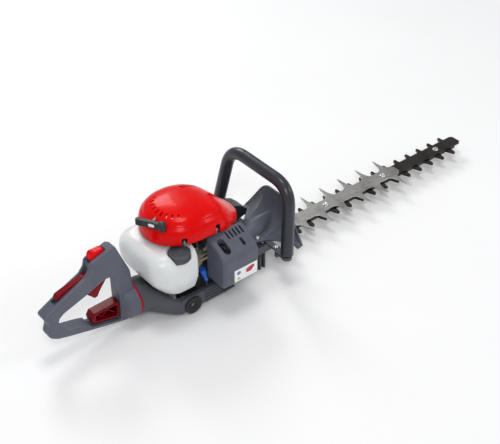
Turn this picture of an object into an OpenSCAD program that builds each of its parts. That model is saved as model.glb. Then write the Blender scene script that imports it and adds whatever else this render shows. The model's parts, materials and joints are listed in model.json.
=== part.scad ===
// Petrol hedge trimmer with a swivelling rear handle and a double-sided blade.
// +X runs forward along the blades, +Y to the operator's left, +Z up.
// Modules are drawn about the vertical crank axis; piece() moves them so that
// the origin is at the bottom centre of the whole machine.

/* [Overall] */
// Crank axis to the tip of the support bar
bar_reach = 765; // [640:1:930]
// Crank axis to the rear end of the rear handle
handle_reach = 310; // [300:1:372]

/* [Blades] */
// Tooth pitch of the moving blades
tooth_pitch = 35; // [30:0.5:42]
// Half width of the blade body
blade_half = 15; // [12:0.5:18]
// Reach of a blade tooth from the centre line
tooth_reach = 31.5; // [27:0.5:38]
// Width of a blade tooth at its tip
tooth_tip_w = 4; // [3:0.5:6]
// Thickness of one blade
blade_t = 2.5; // [2:0.1:3]
// Underside of the lower blade above the floor
blade_z = 24.5; // [22:0.5:27]
// Distance that each blade travels
blade_stroke = 17.5; // [14:0.5:18]
// Thickness of the support bar
bar_t = 3; // [2.5:0.1:4]
// Thickness of the tooth guard plate
guard_t = 2; // [1.5:0.1:2.4]
// Pitch of the guard plate's teeth
guard_pitch = 52.5; // [44:0.5:63]
// Reach of a guard tooth from the centre line
guard_reach = 52; // [43:0.5:63]
// Number of guard teeth on each side
guard_teeth = 6; // [4:1:7]
// Spacing of the blade bolts
bolt_pitch = 165; // [138:1:198]
// Diameter of the blade bolts
bolt_d = 8; // [6:0.5:9]

/* [Gears] */
// Gear module
gear_module = 1.25; // [1:0.05:1.5]
// Teeth on the pinion
pinion_teeth = 12; // [12:1:14]
// Teeth on the cam gear
gear_teeth = 56; // [48:1:60]
// Face width of the gears
gear_face = 8; // [6:0.5:9]
// Radius of the cam discs
cam_r = 12; // [11:0.5:13]
// Wall thickness of the gear case
case_wall = 3.5; // [3:0.1:5]

/* [Engine] */
// Cylinder bore
bore_d = 34; // [30:0.5:38]
// Piston stroke
piston_stroke = 28; // [24:0.5:32]
// Length of the connecting rod that sets the piston's place
rod_length = 56; // [54:0.5:62]
// Height of the cylinder axis above the floor
engine_z = 101; // [99:0.5:105]
// Outside radius of the crankcase
crankcase_r = 38; // [36:0.5:42]
// Radius of the flywheel
flywheel_r = 46; // [42:0.5:48]
// Outside width of the cylinder fins
fin_w = 60; // [52:1:64]
// Number of cylinder fins
fin_count = 7; // [5:1:8]

/* [Starter cover] */
// Radius of the cover's round rim
rim_r = 75; // [68:0.5:82]
// Height of the rim's lower edge
rim_z = 170; // [166:0.5:180]
// Height of the dome above the rim's lower edge
dome_h = 47; // [44:1:60]
// Wall thickness of the covers
cover_wall = 2.5; // [2:0.1:3]

/* [Fuel tank] */
// Half width of the tank
tank_half = 75; // [70:0.5:84]
// Crank axis to the rear of the tank
tank_rear = 110; // [104:0.5:113]
// Height of the tank's bottom above the floor
tank_z = 61; // [60:0.5:66]
// Height of the tank
tank_h = 97; // [82:1:100]
// Wall thickness of the tank
tank_wall = 2.4; // [2:0.1:3]
// Diameter of the fuel cap
cap_d = 42; // [36:0.5:44]

/* [Air filter] */
// Length of the filter cover along the machine
filter_len = 83; // [70:1:90]
// Height of the filter cover
filter_h = 96; // [78:1:100]
// Reach of the cover's outer face from the centre line
filter_reach = 110; // [104:0.5:116]
// Number of vent slots in the cover
vent_count = 5; // [3:1:6]

/* [Rear handle] */
// Width of the rear handle
handle_w = 28; // [26:0.5:34]
// Radius of the swivel collar
collar_r = 35; // [32:0.5:38]
// Height of the swivel axis above the floor
swivel_z = 49; // [45:0.5:52]
// Radius of the swivel spigot
spigot_r = 22; // [18:0.5:24]
// Height of the handle's peak above the swivel axis
handle_peak = 146; // [130:1:160]

/* [Front handle] */
// Diameter of the handle tube
tube_d = 25; // [20:0.5:28]
// Height of the top bar's centre
loop_z = 210; // [180:1:240]
// Half spacing of the legs at their feet
loop_half = 107; // [96:1:120]
// Bend radius of the tube's centre line
loop_bend = 46; // [36:1:54]
// Crank axis forward to the feet of the handle
loop_x = 167; // [160:1:176]

/* [Hand guard] */
// Crank axis forward to the guard plate
guard_x = 225; // [216:1:236]
// Height of the guard plate's top edge
shield_z = 136; // [120:1:166]
// Half width of the guard plate at its foot
shield_half = 88; // [80:1:106]
// Thickness of the guard plate
shield_t = 3; // [2.5:0.1:4]

/* [Fits] */
// Gap between sliding or turning pieces
run_gap = 0.4; // [0.3:0.05:0.5]
// Gap between fixed pieces that face each other
rest_gap = 0.3; // [0.1:0.05:0.5]
// Diameter of the case and cover screws
screw_d = 5; // [4:0.5:5.5]

/* [Hidden] */
$fn = 64;
eps = 0.01;
mid_x = (bar_reach - handle_reach) / 2;

// stack of the blade assembly, from the lower blade up
upper_blade_z = blade_z + blade_t + run_gap;
bar_z = upper_blade_z + blade_t + run_gap;
plate_z = bar_z + bar_t;
plate_top = plate_z + guard_t;
blade_tip = bar_reach - 16;
first_tooth = bar_reach - 25;
right_shift = 13;
bar_bolt_xs = [107, 150];
bolt_front = bar_reach - 67;
bolt_xs = [for (i = [0:3]) if (bolt_front - i * bolt_pitch > 185) bolt_front - i * bolt_pitch];
guard_end = bolt_front - bolt_pitch + 42;
guard_first = guard_end - 22;
slot_len = blade_stroke + bolt_d + 2 * run_gap;
slot_w = bolt_d + 2 * run_gap;

// gears
axis_gap = gear_module * (pinion_teeth + gear_teeth) / 2;
cam_x = axis_gap;
cam_e = blade_stroke / 2;
gear_r = gear_module * gear_teeth / 2 + gear_module;
gear_z = plate_top + 1.7;
gear_top = gear_z + gear_face;
chamber_r = gear_r + 2;
case_r = chamber_r + case_wall;
split_z = bar_z + bar_t + 0.7;
case_bottom = 0;
case_floor = case_bottom + 4;
case_roof = gear_top + 1.5;
case_top = case_roof + 6;
nose_end = 168;
nose_half = 40;
shaft_r = 6;
bearing_r = 11;
bearing_t = 6;
yoke_play = 2.2;
yoke_wall = 6;
yoke_half_x = cam_r + yoke_play + yoke_wall;
yoke_half_y = cam_r + cam_e + run_gap + 5;
cam_neck_r = cam_r + yoke_play - cam_e - run_gap;

// clutch and crank train
clutch_floor = case_top + 0.5;
drum_r = 27;
drum_h = 16;
drum_wall = 2.5;
clutch_top = engine_z - 23;
crank_half = 23;
crankcase_top = engine_z + crank_half;
web_r = 28;
web_t = 8;
pin_half = 5;
throw_r = piston_stroke / 2;
fly_z = crankcase_top + 2;
fly_h = 22;
piston_r = bore_d / 2 - 0.1;
piston_len = 22;
crown_x = throw_r + rod_length + 14;
barrel_start = crankcase_r + rest_gap;
head_x = crown_x + 2;
barrel_end = head_x + 11;
port_wall = 5;

// starter cover and shroud
cover_split = 52;
shroud_front = 112;
rim_x = -4;
rim_y = 5;
reel_r = 32;
rope_r = 28;
cover_top = rim_z + dome_h;
pull_yaw = 209;
grip_out = 81;
grip_z = cover_top - 13;
grip_len = 60;
grip_t = 12;
reel_t = 9;
reel_z = grip_z - reel_t / 2;

// filter side, along -Y from the cylinder
filter_x = 13;
filter_z = 62;
insulator_y = fin_w / 2 + rest_gap;
insulator_t = 8;
carb_t = 24;
carb_y = insulator_y + insulator_t;
base_y = carb_y + carb_t;
base_t = 3;
cover_y = base_y + base_t;
filter_wall = 2.4;

// fuel tank and cap
tank_front = -19;
well_r = flywheel_r + 5;
cap_x = -50;
cap_y = -58;
neck_r = cap_d / 2 - 5.5;
cap_z = tank_z + tank_h - 9;
cap_h = 9;

// frame
neck_x = -118;
rail_in = case_r + 8.25;
rail_out = rail_in + 12;
rail_h = 40;
rail_front = 74;
tray_rear = -46;
av_z = 20;
av_r = 18.5;
av_x = -26;
av_front_x = 52;
av_core_r = 12;

// rear handle, measured back from the collar and up from the swivel axis
collar_x = neck_x - 4;
h = handle_w / 2;
sz = swivel_z;
hr = -handle_reach;
peak_z = sz + handle_peak;
lever_half = 6;
pin_r = 2;
trigger_pin = [-176, sz + 93];
lock_pin = [-212, sz + 98];
switch_x = -190;
switch_pitch = 15.4;

// front handle and its bracket
tube_r = tube_d / 2;
foot_z = 70;
loop_tilt = 7.8;
bracket_t = 5;
arm_z = foot_z - 9;
bar_x0 = nose_end + 2;
riser_y = loop_half - 27;
pad_z = 60;
shield_bolts = [161, 25];

module piece(c) color(c) translate([-mid_x, 0, 0]) children();

module both_sides() {
    children();
    mirror([0, 1, 0]) children();
}

// box from low corner to high corner
module block(lo, hi) translate(lo) cube(hi - lo);

// round bar along +X, +Y or +Z from point p
module bar_x(p, r, l) translate(p) rotate([0, 90, 0]) cylinder(r = r, h = l);
module bar_y(p, r, l) translate(p) rotate([-90, 0, 0]) cylinder(r = r, h = l);
module bar_z(p, r, l) translate(p) cylinder(r = r, h = l);

// washer-faced screw along +Z with its head on top, head's underside at p
module screw_z(p, d, l) {
    bar_z(p - [0, 0, l], d / 2, l + eps);
    difference() {
        bar_z(p, d * 0.85, d * 0.7);
        translate(p + [0, 0, d * 0.35]) cylinder(r = d * 0.5, h = d, $fn = 6);
    }
}

// flat plate with rounded ends from x0 to x1
module slot2d(x0, x1, r) {
    for (x = [x0, x1]) translate([x, 0]) circle(r);
    translate([x0, -r]) square([x1 - x0, 2 * r]);
}

// ---------------------------------------------------------------- gears

function inv(a) = tan(a) * 180 / PI - a;
function polar(r, a) = [r * cos(a), r * sin(a)];

// one tooth's outline: root, flank, tip and back again
function tooth(m, z, k, thin) =
    let (rp = m * z / 2, rb = rp * cos(20), ra = rp + 0.9 * m, rf = rp - 1.2 * m,
         half = 90 / z * thin, c = k * 360 / z,
         rs = [for (i = [0:2]) max(rb, rf) + (ra - max(rb, rf)) * i / 2],
         off = [for (r = rs) half + inv(20) - inv(acos(min(1, rb / r)))])
    concat([polar(rf, c - off[0])], [for (i = [0:2]) polar(rs[i], c - off[i])],
           [for (i = [2:-1:0]) polar(rs[i], c + off[i])], [polar(rf, c + off[0])]);

module gear2d(m, z, thin) polygon([for (k = [0:z - 1]) each tooth(m, z, k, thin)]);

// ---------------------------------------------------------------- blades

// outline of a side tooth whose tip is at x, from its front root to its rear one
function blade_tooth(x) = [[x + 6.5, blade_half], [x + 4, blade_half + 3],
    [x + tooth_tip_w / 2 + 0.6, tooth_reach - 2], [x + tooth_tip_w / 2, tooth_reach],
    [x - tooth_tip_w / 2, tooth_reach], [x - tooth_tip_w / 2 - 1, tooth_reach - 1.5], [x - 9, blade_half]];

function flip_y(points) = [for (i = [len(points) - 1:-1:0]) [points[i][0], -points[i][1]]];

tooth_count = floor((first_tooth - nose_end - 26) / tooth_pitch);

module blade2d() {
    difference() {
        polygon(concat([[nose_end - 80, -blade_half]],

                           [for (i = [tooth_count - 1:-1:0]) each flip_y(blade_tooth(first_tooth - right_shift - i * tooth_pitch))],
            [[blade_tip - 3, -blade_half], [blade_tip, 3 - blade_half], [blade_tip, blade_half - 3],
             [blade_tip - 3, blade_half]],
            [for (i = [0:tooth_count - 1]) each blade_tooth(first_tooth - i * tooth_pitch)],
            [[nose_end - 80, blade_half]]));
        for (x = concat(bolt_xs, bar_bolt_xs))
            translate([x, 0]) slot2d(-(slot_len - slot_w) / 2, (slot_len - slot_w) / 2, slot_w / 2);
    }
    // yoke round the cam disc
    difference() {
        translate([cam_x, 0]) intersection() {
            square([2 * yoke_half_x, 2 * yoke_half_y], center = true);
            circle(chamber_r - cam_e - 1);
        }
        translate([cam_x - cam_r - yoke_play, -yoke_half_y + 5])
            square([2 * (cam_r + yoke_play), 2 * yoke_half_y - 10]);
    }
    translate([cam_x + yoke_half_x - 2, -blade_half])
        square([nose_end - 80 - cam_x - yoke_half_x + 2 + eps, 2 * blade_half]);
}

module upper_blade() piece([0.16, 0.16, 0.17])
    translate([0, 0, upper_blade_z]) linear_extrude(blade_t) blade2d();

module lower_blade() piece([0.13, 0.13, 0.14])
    translate([0, 0, blade_z]) linear_extrude(blade_t) blade2d();

bar_start = cam_x + gear_r + 6;

module support_bar() piece([0.12, 0.12, 0.13]) difference() {
    translate([0, 0, bar_z]) linear_extrude(bar_t) union() {
        translate([bar_start, -blade_half]) square([bar_reach - 6 - bar_start, 2 * blade_half]);
        translate([bar_reach - 6 - eps, 0]) polygon([[0, -blade_half], [6, 5 - blade_half],
            [6, blade_half - 5], [0, blade_half]]);
    }
    for (x = concat(bolt_xs, bar_bolt_xs)) bar_z([x, 0, bar_z - 1], bolt_d / 2, bar_t + 2);
}

// long pointed guard tooth with slightly hollow flanks, from its front root to its rear one
function guard_tooth(x) = [[x + 11, blade_half], [x + 6, blade_half + 5], [x + 2.6, guard_reach * 0.62],
    [x + 0.8, guard_reach], [x - 0.8, guard_reach], [x - 6, guard_reach * 0.62],
    [x - 12, blade_half + 3], [x - 18, blade_half]];

module tooth_guard() piece([0.66, 0.64, 0.61]) difference() {
    translate([0, 0, plate_z]) linear_extrude(guard_t) polygon(concat([[nose_end + 2, -blade_half]],
        [for (i = [guard_teeth - 1:-1:0]) each flip_y(guard_tooth(guard_first - i * guard_pitch))],
        [[guard_end - 8, -blade_half], [guard_end, 6 - blade_half], [guard_end, blade_half - 6],
         [guard_end - 8, blade_half]],
        [for (i = [0:guard_teeth - 1]) each guard_tooth(guard_first - i * guard_pitch)],
        [[nose_end + 2, blade_half]]));
    for (x = bolt_xs) bar_z([x, 0, plate_z - 1], bolt_d / 2, guard_t + 2);
}

// height of the surface that a blade bolt's head rests on
function seat_z(x) = x > guard_end ? plate_z : plate_top;

module blade_bolts() piece([0.85, 0.86, 0.88]) for (x = bolt_xs) {
    bar_z([x, 0, blade_z - run_gap - 6], bolt_d / 2, seat_z(x) - blade_z + run_gap + 6 + eps);
    translate([x, 0, seat_z(x)]) cylinder(r1 = bolt_d * 0.85, r2 = bolt_d * 0.7, h = 3.2);
    translate([x, 0, blade_z - run_gap - 5]) cylinder(r = bolt_d * 0.8, h = 5, $fn = 6);
}

// ---------------------------------------------------------------- gear case

module case2d(grow) {
    translate([cam_x, 0]) circle(chamber_r + grow);
    circle(18 + grow);
    translate([0, -18 - grow]) square([cam_x, 36 + 2 * grow]);
}

module nose2d() translate([cam_x, -nose_half]) square([nose_end - cam_x, 2 * nose_half]);

screw_spots = [[10, 31], [cam_x + chamber_r + 3.25, 30], [122, 30], [146, 34]];

module case_body(z0, z1) {
    translate([0, 0, z0]) linear_extrude(z1 - z0) union() {
        case2d(case_wall);
        nose2d();
        for (p = screw_spots, s = [-1, 1]) translate([p[0], s * p[1]]) circle(6);
    }
    // cooling ribs on both flanks of the nose
    both_sides() for (i = [0:6])
        block([96 + i * 11, nose_half - eps, z0], [100 + i * 11, nose_half + 5, z1 - 0.5]);
}

module case_screw_holes() both_sides() for (p = screw_spots)
    bar_z([p[0], p[1], case_floor - 1], screw_d / 2, case_top);

module gearcase_lower() piece([0.33, 0.34, 0.36]) difference() {
    case_body(case_bottom, split_z);
    // cam chamber
    bar_z([cam_x, 0, blade_z - 3], chamber_r, split_z);
    // channel for the blades and the bar
    block([cam_x, -blade_half - 1, blade_z - 0.6], [nose_end + 9, blade_half + 1, split_z + 1]);
    // weight-saving pockets in the nose
    both_sides() block([96, 19, case_floor], [150, 24, split_z - 4]);
    // seats of the lower bearings
    bar_z([cam_x, 0, blade_z - 3 - bearing_t], bearing_r, bearing_t + 1);
    bar_z([cam_x, 0, case_floor], shaft_r + 1.5, blade_z);
    bar_z([0, 0, split_z - 2 - bearing_t], bearing_r, bearing_t + 4);
    bar_z([0, 0, split_z - 12], shaft_r + 1, 14);
    case_screw_holes();
    for (x = bar_bolt_xs) bar_z([x, 0, case_bottom + 12], bolt_d / 2, split_z);
}

module gearcase_upper() piece([0.36, 0.37, 0.39]) difference() {
    union() {
        case_body(split_z, case_top);
        // bosses that carry the hand guard
        both_sides() bar_z([shield_bolts[0], shield_bolts[1], case_top - eps], 8, pad_z - case_top + eps);
        both_sides() bar_z([112, shield_bolts[1], case_top - eps], 7, pad_z - case_top + eps);
    }
    bar_z([cam_x, 0, split_z - 1], chamber_r, case_roof - split_z + 1);
    bar_z([0, 0, split_z - 1], 18, case_roof - split_z + 1);
    bar_z([0, 0, case_roof - 1], bearing_r, case_top);
    bar_z([cam_x, 0, case_roof - 1], bearing_r, bearing_t);
    block([bar_start - 6, -blade_half - 1, split_z - 1], [nose_end + 9, blade_half + 1, plate_top + 0.8]);
    both_sides() block([96, 19, split_z + 4], [150, 24, case_top - 3]);
    case_screw_holes();
    both_sides() for (x = [shield_bolts[0], 112])
        bar_z([x, shield_bolts[1], case_top - 8], screw_d / 2, pad_z);
    for (x = bar_bolt_xs) {
        bar_z([x, 0, split_z - 1], bolt_d / 2, case_top);
        bar_z([x, 0, case_top - 6], bolt_d, 8);
    }
}

module gearcase_screws() piece([0.7, 0.71, 0.73]) {
    both_sides() for (p = screw_spots) screw_z([p[0], p[1], case_top], screw_d, case_top - case_floor - 4);
    for (x = bar_bolt_xs) screw_z([x, 0, case_top - 6], bolt_d, case_top - 6 - case_bottom - 13);
}

module bearing(p) difference() {
    bar_z(p, bearing_r, bearing_t);
    bar_z(p - [0, 0, 1], shaft_r, bearing_t + 2);
}

module shaft_bearings() piece([0.72, 0.73, 0.76]) {
    bearing([cam_x, 0, blade_z - 3 - bearing_t]);
    bearing([0, 0, split_z - 2 - bearing_t]);
    bearing([0, 0, case_roof]);
    translate([0, 0, case_roof]) difference() {
        bar_z([cam_x, 0, 0], bearing_r, bearing_t - 1);
        bar_z([cam_x, 0, -1], shaft_r, bearing_t + 2);
    }
    for (z = [clutch_top, crankcase_top - bearing_t]) bearing([0, 0, z]);
}

module cam_gear() piece([0.62, 0.6, 0.56]) {
    // journal, cams, gear and upper journal on one axis
    bar_z([cam_x, 0, case_floor + 4], shaft_r - 0.05, blade_z - case_floor - 5);
    bar_z([cam_x, 0, blade_z - 1 - eps], cam_neck_r, 1.2);
    bar_z([cam_x, cam_e, blade_z + 0.1], cam_r, blade_t - 0.1 + run_gap / 2 + eps);
    bar_z([cam_x, -cam_e, upper_blade_z - run_gap / 2], cam_r, blade_t - 0.1 + run_gap / 2);
    bar_z([cam_x, 0, upper_blade_z + blade_t - 0.2], cam_neck_r, 1.2);
    bar_z([cam_x, 0, upper_blade_z + blade_t + 1 - eps], shaft_r, gear_z - upper_blade_z - blade_t);
    difference() {
        translate([cam_x, 0, gear_z]) rotate([0, 0, 180 / gear_teeth])
            linear_extrude(gear_face) gear2d(gear_module, gear_teeth, 0.86);
        for (i = [0:5]) translate([cam_x, 0, gear_z - 1]) rotate([0, 0, i * 60 + 30])
            translate([gear_r * 0.6, 0, 0]) cylinder(r = 6, h = gear_face + 2);
    }
    bar_z([cam_x, 0, gear_top - eps], shaft_r - 0.05, case_roof - gear_top + bearing_t - 2);
}

module clutch_drum() piece([0.5, 0.5, 0.52]) {
    // pinion shaft in its two bearings
    bar_z([0, 0, split_z - 1 - bearing_t], shaft_r - 0.05, gear_z - split_z + 1 + bearing_t + eps);
    translate([0, 0, gear_z - 0.5]) linear_extrude(gear_face + 1) gear2d(gear_module, pinion_teeth, 0.82);
    bar_z([0, 0, gear_top + 0.5 - eps], shaft_r - 0.05, clutch_floor - gear_top);
    difference() {
        bar_z([0, 0, clutch_floor], drum_r, drum_h);
        bar_z([0, 0, clutch_floor + drum_wall], drum_r - drum_wall, drum_h);
    }
}

// ---------------------------------------------------------------- engine

module clutch_housing() piece([0.38, 0.39, 0.41]) difference() {
    bar_z([0, 0, case_top], crankcase_r - 2, clutch_top - case_top);
    bar_z([0, 0, case_top - 1], drum_r + 2, clutch_top);
    // the gear case screws keep their room
    both_sides() bar_z([10, 31, case_top - 1], 8, 8);
    for (a = [90, 150, 210, 270]) rotate([0, 0, a])
        block([drum_r, -5, case_top + 8], [crankcase_r + 2, 5, case_top + 16]);
}

module crankcase() piece([0.62, 0.62, 0.6]) difference() {
    union() {
        bar_z([0, 0, clutch_top], crankcase_r, 2 * crank_half);
        bar_x([0, 0, engine_z], crank_half - 0.5, crankcase_r);
    }
    bar_z([0, 0, engine_z - 15], web_r + 2, 30);
    bar_z([0, 0, clutch_top - 1], bearing_r, 2 * crank_half + 2);
    bar_x([0, 0, engine_z], bore_d / 2, crankcase_r + 5);
}

module crankshaft() piece([0.55, 0.55, 0.57]) {
    bar_z([0, 0, clutch_floor + drum_wall + 1], shaft_r - 0.05,
        engine_z - 13 - clutch_floor - drum_wall - 1 + eps);
    for (z = [engine_z - pin_half - web_t, engine_z + pin_half]) bar_z([0, 0, z], web_r, web_t);
    bar_z([throw_r, 0, engine_z - pin_half - eps], 6, 2 * pin_half + 2 * eps);
    bar_z([0, 0, engine_z + 13 - eps], shaft_r - 0.05, fly_z + fly_h + 8 - engine_z - 13);
}

module flywheel() piece([0.6, 0.61, 0.63]) difference() {
    union() {
        bar_z([0, 0, fly_z], flywheel_r, 9);
        bar_z([0, 0, fly_z], 13, fly_h);
        for (i = [0:15]) rotate([0, 0, i * 22.5])
            block([12, -1.2, fly_z + 8], [flywheel_r - 1, 1.2, fly_z + fly_h - 2]);
    }
    bar_z([0, 0, fly_z - 1], shaft_r, fly_h + 4);
}

module clutch_shoes() piece([0.42, 0.36, 0.32]) {
    z = clutch_floor + drum_wall + 1.5;
    difference() {
        bar_z([0, 0, z], drum_r - drum_wall - 1.2, 9);
        bar_z([0, 0, z - 1], 13, 11);
        block([-drum_r, -2.5, z - 1], [drum_r, 2.5, z + 10]);
    }
    difference() {
        union() {
            bar_z([0, 0, z], 12.5, 9);
            block([-19, -2, z + 1], [19, 2, z + 8]);
        }
        bar_z([0, 0, z - 1], shaft_r, 11);
    }
}

module fin_plate(x) translate([x, 0, engine_z]) rotate([0, 90, 0]) linear_extrude(2) {
    square([fin_w - 12, fin_w], center = true);
    square([fin_w, fin_w - 12], center = true);
    for (a = [-1, 1], b = [-1, 1]) translate([a * (fin_w / 2 - 6), b * (fin_w / 2 - 6)]) circle(6);
}

module cylinder_bore() {
    bar_x([barrel_start - 1, 0, engine_z], bore_d / 2, head_x - barrel_start + 1);
    bar_x([head_x - eps, 0, engine_z], 5, 30);
}

module engine_cylinder() piece([0.66, 0.65, 0.62]) difference() {
    union() {
        bar_x([barrel_start, 0, engine_z], bore_d / 2 + port_wall, barrel_end - barrel_start);
        for (i = [0:fin_count - 1])
            fin_plate(barrel_end - 2 - i * (barrel_end - 52 - 2) / (fin_count - 1));
        // intake and exhaust ports
        block([54, -fin_w / 2, engine_z - 14], [80, -15, engine_z + 10]);
        block([54, 15, engine_z - 14], [80, fin_w / 2, engine_z + 10]);
    }
    cylinder_bore();
}

module piston() piece([0.75, 0.75, 0.74]) difference() {
    bar_x([crown_x - piston_len, 0, engine_z], piston_r, piston_len);
    bar_x([crown_x - piston_len - 1, 0, engine_z], piston_r - 3.5, piston_len - 4);
    for (i = [0:1]) difference() {
        bar_x([crown_x - 4.5 - i * 3.5, 0, engine_z], piston_r + 1, 1.2);
        bar_x([crown_x - 5 - i * 3.5, 0, engine_z], piston_r - 0.8, 3);
    }
}

module spark_plug() piece([0.92, 0.92, 0.9]) {
    bar_x([head_x + 1, 0, engine_z], 5, barrel_end - head_x - 1 + eps);
    translate([barrel_end, 0, engine_z]) rotate([0, 90, 0]) cylinder(r = 9, h = 6, $fn = 6);
    bar_x([barrel_end + 6 - eps, 0, engine_z], 5, 9);
}

module plug_boot() piece([0.07, 0.07, 0.08]) difference() {
    union() {
        bar_x([barrel_end + 6.2, 0, engine_z], 8.5, 14);
        bar_z([barrel_end + 14, 0, engine_z], 6.5, 14);
    }
    bar_x([barrel_end + 5, 0, engine_z], 5, 10.2);
}

// lead from the coil over the fins and down into the boot
lead_r = 3;
lead_x0 = 66;
lead_x1 = barrel_end + 14;
lead_top = fly_z + 16;
lead_bend = 10;

module plug_lead() piece([0.06, 0.06, 0.07]) {
    bar_x([lead_x0, 0, lead_top], lead_r, lead_x1 - lead_bend - lead_x0 + eps);
    translate([lead_x1 - lead_bend, 0, lead_top - lead_bend]) rotate([90, 0, 0])
        rotate_extrude(angle = 90) translate([lead_bend, 0]) circle(lead_r, $fn = 24);
    bar_z([lead_x1, 0, engine_z + 14], lead_r, lead_top - lead_bend - engine_z - 14 + eps);
}

module ignition_coil() piece([0.09, 0.09, 0.1]) {
    block([flywheel_r + 1, -16, fly_z + 7], [flywheel_r + 7, 16, fly_z + 17]);
    block([flywheel_r + 6.99, -10, fly_z + 6], [lead_x0, 10, fly_z + 24]);
}

module intake_insulator() piece([0.6, 0.57, 0.5]) difference() {
    block([53, -insulator_y - insulator_t, engine_z - 19], [83, -insulator_y, engine_z + 17]);
    bar_y([68, -insulator_y - insulator_t - 1, engine_z - 2], 8, insulator_t + 2);
}

module carburetor() piece([0.68, 0.67, 0.63]) difference() {
    union() {
        block([51, -carb_y - carb_t, engine_z - 20], [85, -carb_y, engine_z + 14]);
        bar_z([68, -carb_y - 12, engine_z - 26], 11.5, 6.01);
        bar_x([38, -carb_y - 12, engine_z - 4], 9, 13.01);
        block([56, -carb_y - 18, engine_z + 13.99], [80, -carb_y - 6, engine_z + 20]);
    }
    bar_y([68, -carb_y - carb_t - 1, engine_z - 2], 8, carb_t + 2);
    bar_x([37, -carb_y - 12, engine_z - 4], 7.4, 9);
}

module air_filter_base() piece([0.1, 0.1, 0.11]) difference() {
    block([filter_x + 5, -cover_y, filter_z + 5], [filter_x + filter_len - 5, -base_y,
        filter_z + filter_h - 26]);
    bar_y([68, -cover_y - 1, engine_z - 2], 8, base_t + 2);
}

module air_filter_element() piece([0.75, 0.68, 0.45]) difference() {
    block([filter_x + 10, -cover_y - 9, filter_z + 10],
        [filter_x + filter_len - 10, -cover_y, filter_z + filter_h - 32]);
    bar_y([68, -cover_y - 10, engine_z - 2], 7, 11);
}

// side view of the filter cover: y outward, z up, with its sloping top
function filter_side(w) = let (y0 = base_y - 5, y1 = filter_reach - w, z0 = filter_z + w,
    z1 = filter_z + filter_h - w)
    [[y0, z0], [y1 - 9, z0], [y1 - 3, z0 + 3], [y1, z0 + 9], [y1, z1 - 32], [y1 - 3, z1 - 25],
     [y1 - 10, z1 - 19], [y0, z1]];

module filter_solid(w) translate([filter_x + w, 0, 0]) rotate([90, 0, 90])
    linear_extrude(filter_len - 2 * w) mirror([1, 0]) polygon(filter_side(w));

knob_x = filter_x + 18;
knob_y = base_y + 20;

module air_filter_cover() piece([0.35, 0.36, 0.4]) difference() {
    filter_solid(0);
    intersection() {
        filter_solid(filter_wall);
        block([0, -filter_reach, 0], [200, -base_y + 10, 300]);
    }
    block([0, -base_y + eps, filter_z + filter_wall], [filter_x + filter_len - filter_wall, 0,
        filter_z + filter_h - 12]);
    for (i = [0:vent_count - 1])
        block([filter_x + 36 + i * 8, -base_y - 16, filter_z + filter_h - 22],
            [filter_x + 40 + i * 8, -base_y + 0, filter_z + filter_h + 2]);
    // pocket for the choke lever and the finger recess beside it
    bar_z([knob_x, -knob_y, filter_z + filter_h - 42], 8, 60);
    bar_z([filter_x + 56, -knob_y - 4, filter_z + filter_h - 42], 5, 60);
}

module cover_label() piece([0.93, 0.93, 0.92])
    block([filter_x + 23, -filter_reach - 0.3, filter_z + 9.5], [filter_x + 77, -filter_reach,
        filter_z + 37]);

module choke_lever() piece([0.05, 0.05, 0.06]) {
    bar_z([knob_x, -knob_y, filter_z + filter_h - 44], 6.5, 20);
    block([knob_x - 2, -knob_y - 6, filter_z + filter_h - 25], [knob_x + 2, -knob_y + 6,
        filter_z + filter_h - 15]);
}

module primer_bulb() piece([0.75, 0.76, 0.78]) translate([31, -carb_y - 12, engine_z - 4])
    rotate([0, 90, 0]) rotate_extrude() polygon([[0, 0], [5, 1], [7, 4], [7, 10.6], [0, 10.6]]);

module muffler_can(w) hull() for (x = [46, 92], z = [engine_z - 26, engine_z + 26])
    bar_y([x, fin_w / 2 + 0.3 + w, z], 8 - w, 38 - 2 * w);

module muffler() piece([0.3, 0.29, 0.28]) difference() {
    muffler_can(0);
    muffler_can(1.5);
    bar_y([68, fin_w / 2, engine_z - 2], 8, 5);
    bar_x([90, fin_w / 2 + 24, engine_z - 14], 5, 20);
}

module guard_shell(w) hull() {
    for (x = [38 + w, 104 - w], z = [engine_z - 39 + w, engine_z + 43 - w])
        translate([x, fin_w / 2 + 4, z]) rotate([-90, 0, 0]) cylinder(r = 4, h = 38 - w, $fn = 32);
    for (x = [47 + w, 94 - w], z = [engine_z - 29 + w, engine_z + 33 - w])
        translate([x, fin_w / 2 + 40, z]) rotate([-90, 0, 0]) cylinder(r = 4, h = 12 - w, $fn = 32);
}

// deflector that leads the exhaust forward, open on its far side
module deflector(y, t, outline) translate([0, y + t, engine_z]) rotate([90, 0, 0])
    linear_extrude(t) polygon(outline);

module muffler_guard() piece([0.08, 0.08, 0.09]) difference() {
    union() {
        guard_shell(0);
        deflector(38, 34, [[101, -35], [150, -35], [184, -25], [188, -15], [172, 0], [146, 12], [122,
            21], [101, 23]]);
    }
    difference() {
        guard_shell(2.5);
        block([0, 0, 0], [200, fin_w / 2 - 2, 300]);
    }
    deflector(40.5, 40, [[108.5, -32], [149, -32], [181, -23], [185, -16], [170, -2], [145, 9.5], [121,
        18.5], [108.5, 20.5]]);
    block([30, fin_w / 2, engine_z - 31], [110, fin_w / 2 + 7, engine_z + 35]);
    for (i = [0:4]) block([48 + i * 9, 60, engine_z - 17], [53 + i * 9, 100, engine_z + 21]);
    bar_x([96, fin_w / 2 + 24, engine_z - 14], 7, 20);
}

// ---------------------------------------------------------------- fuel tank

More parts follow.
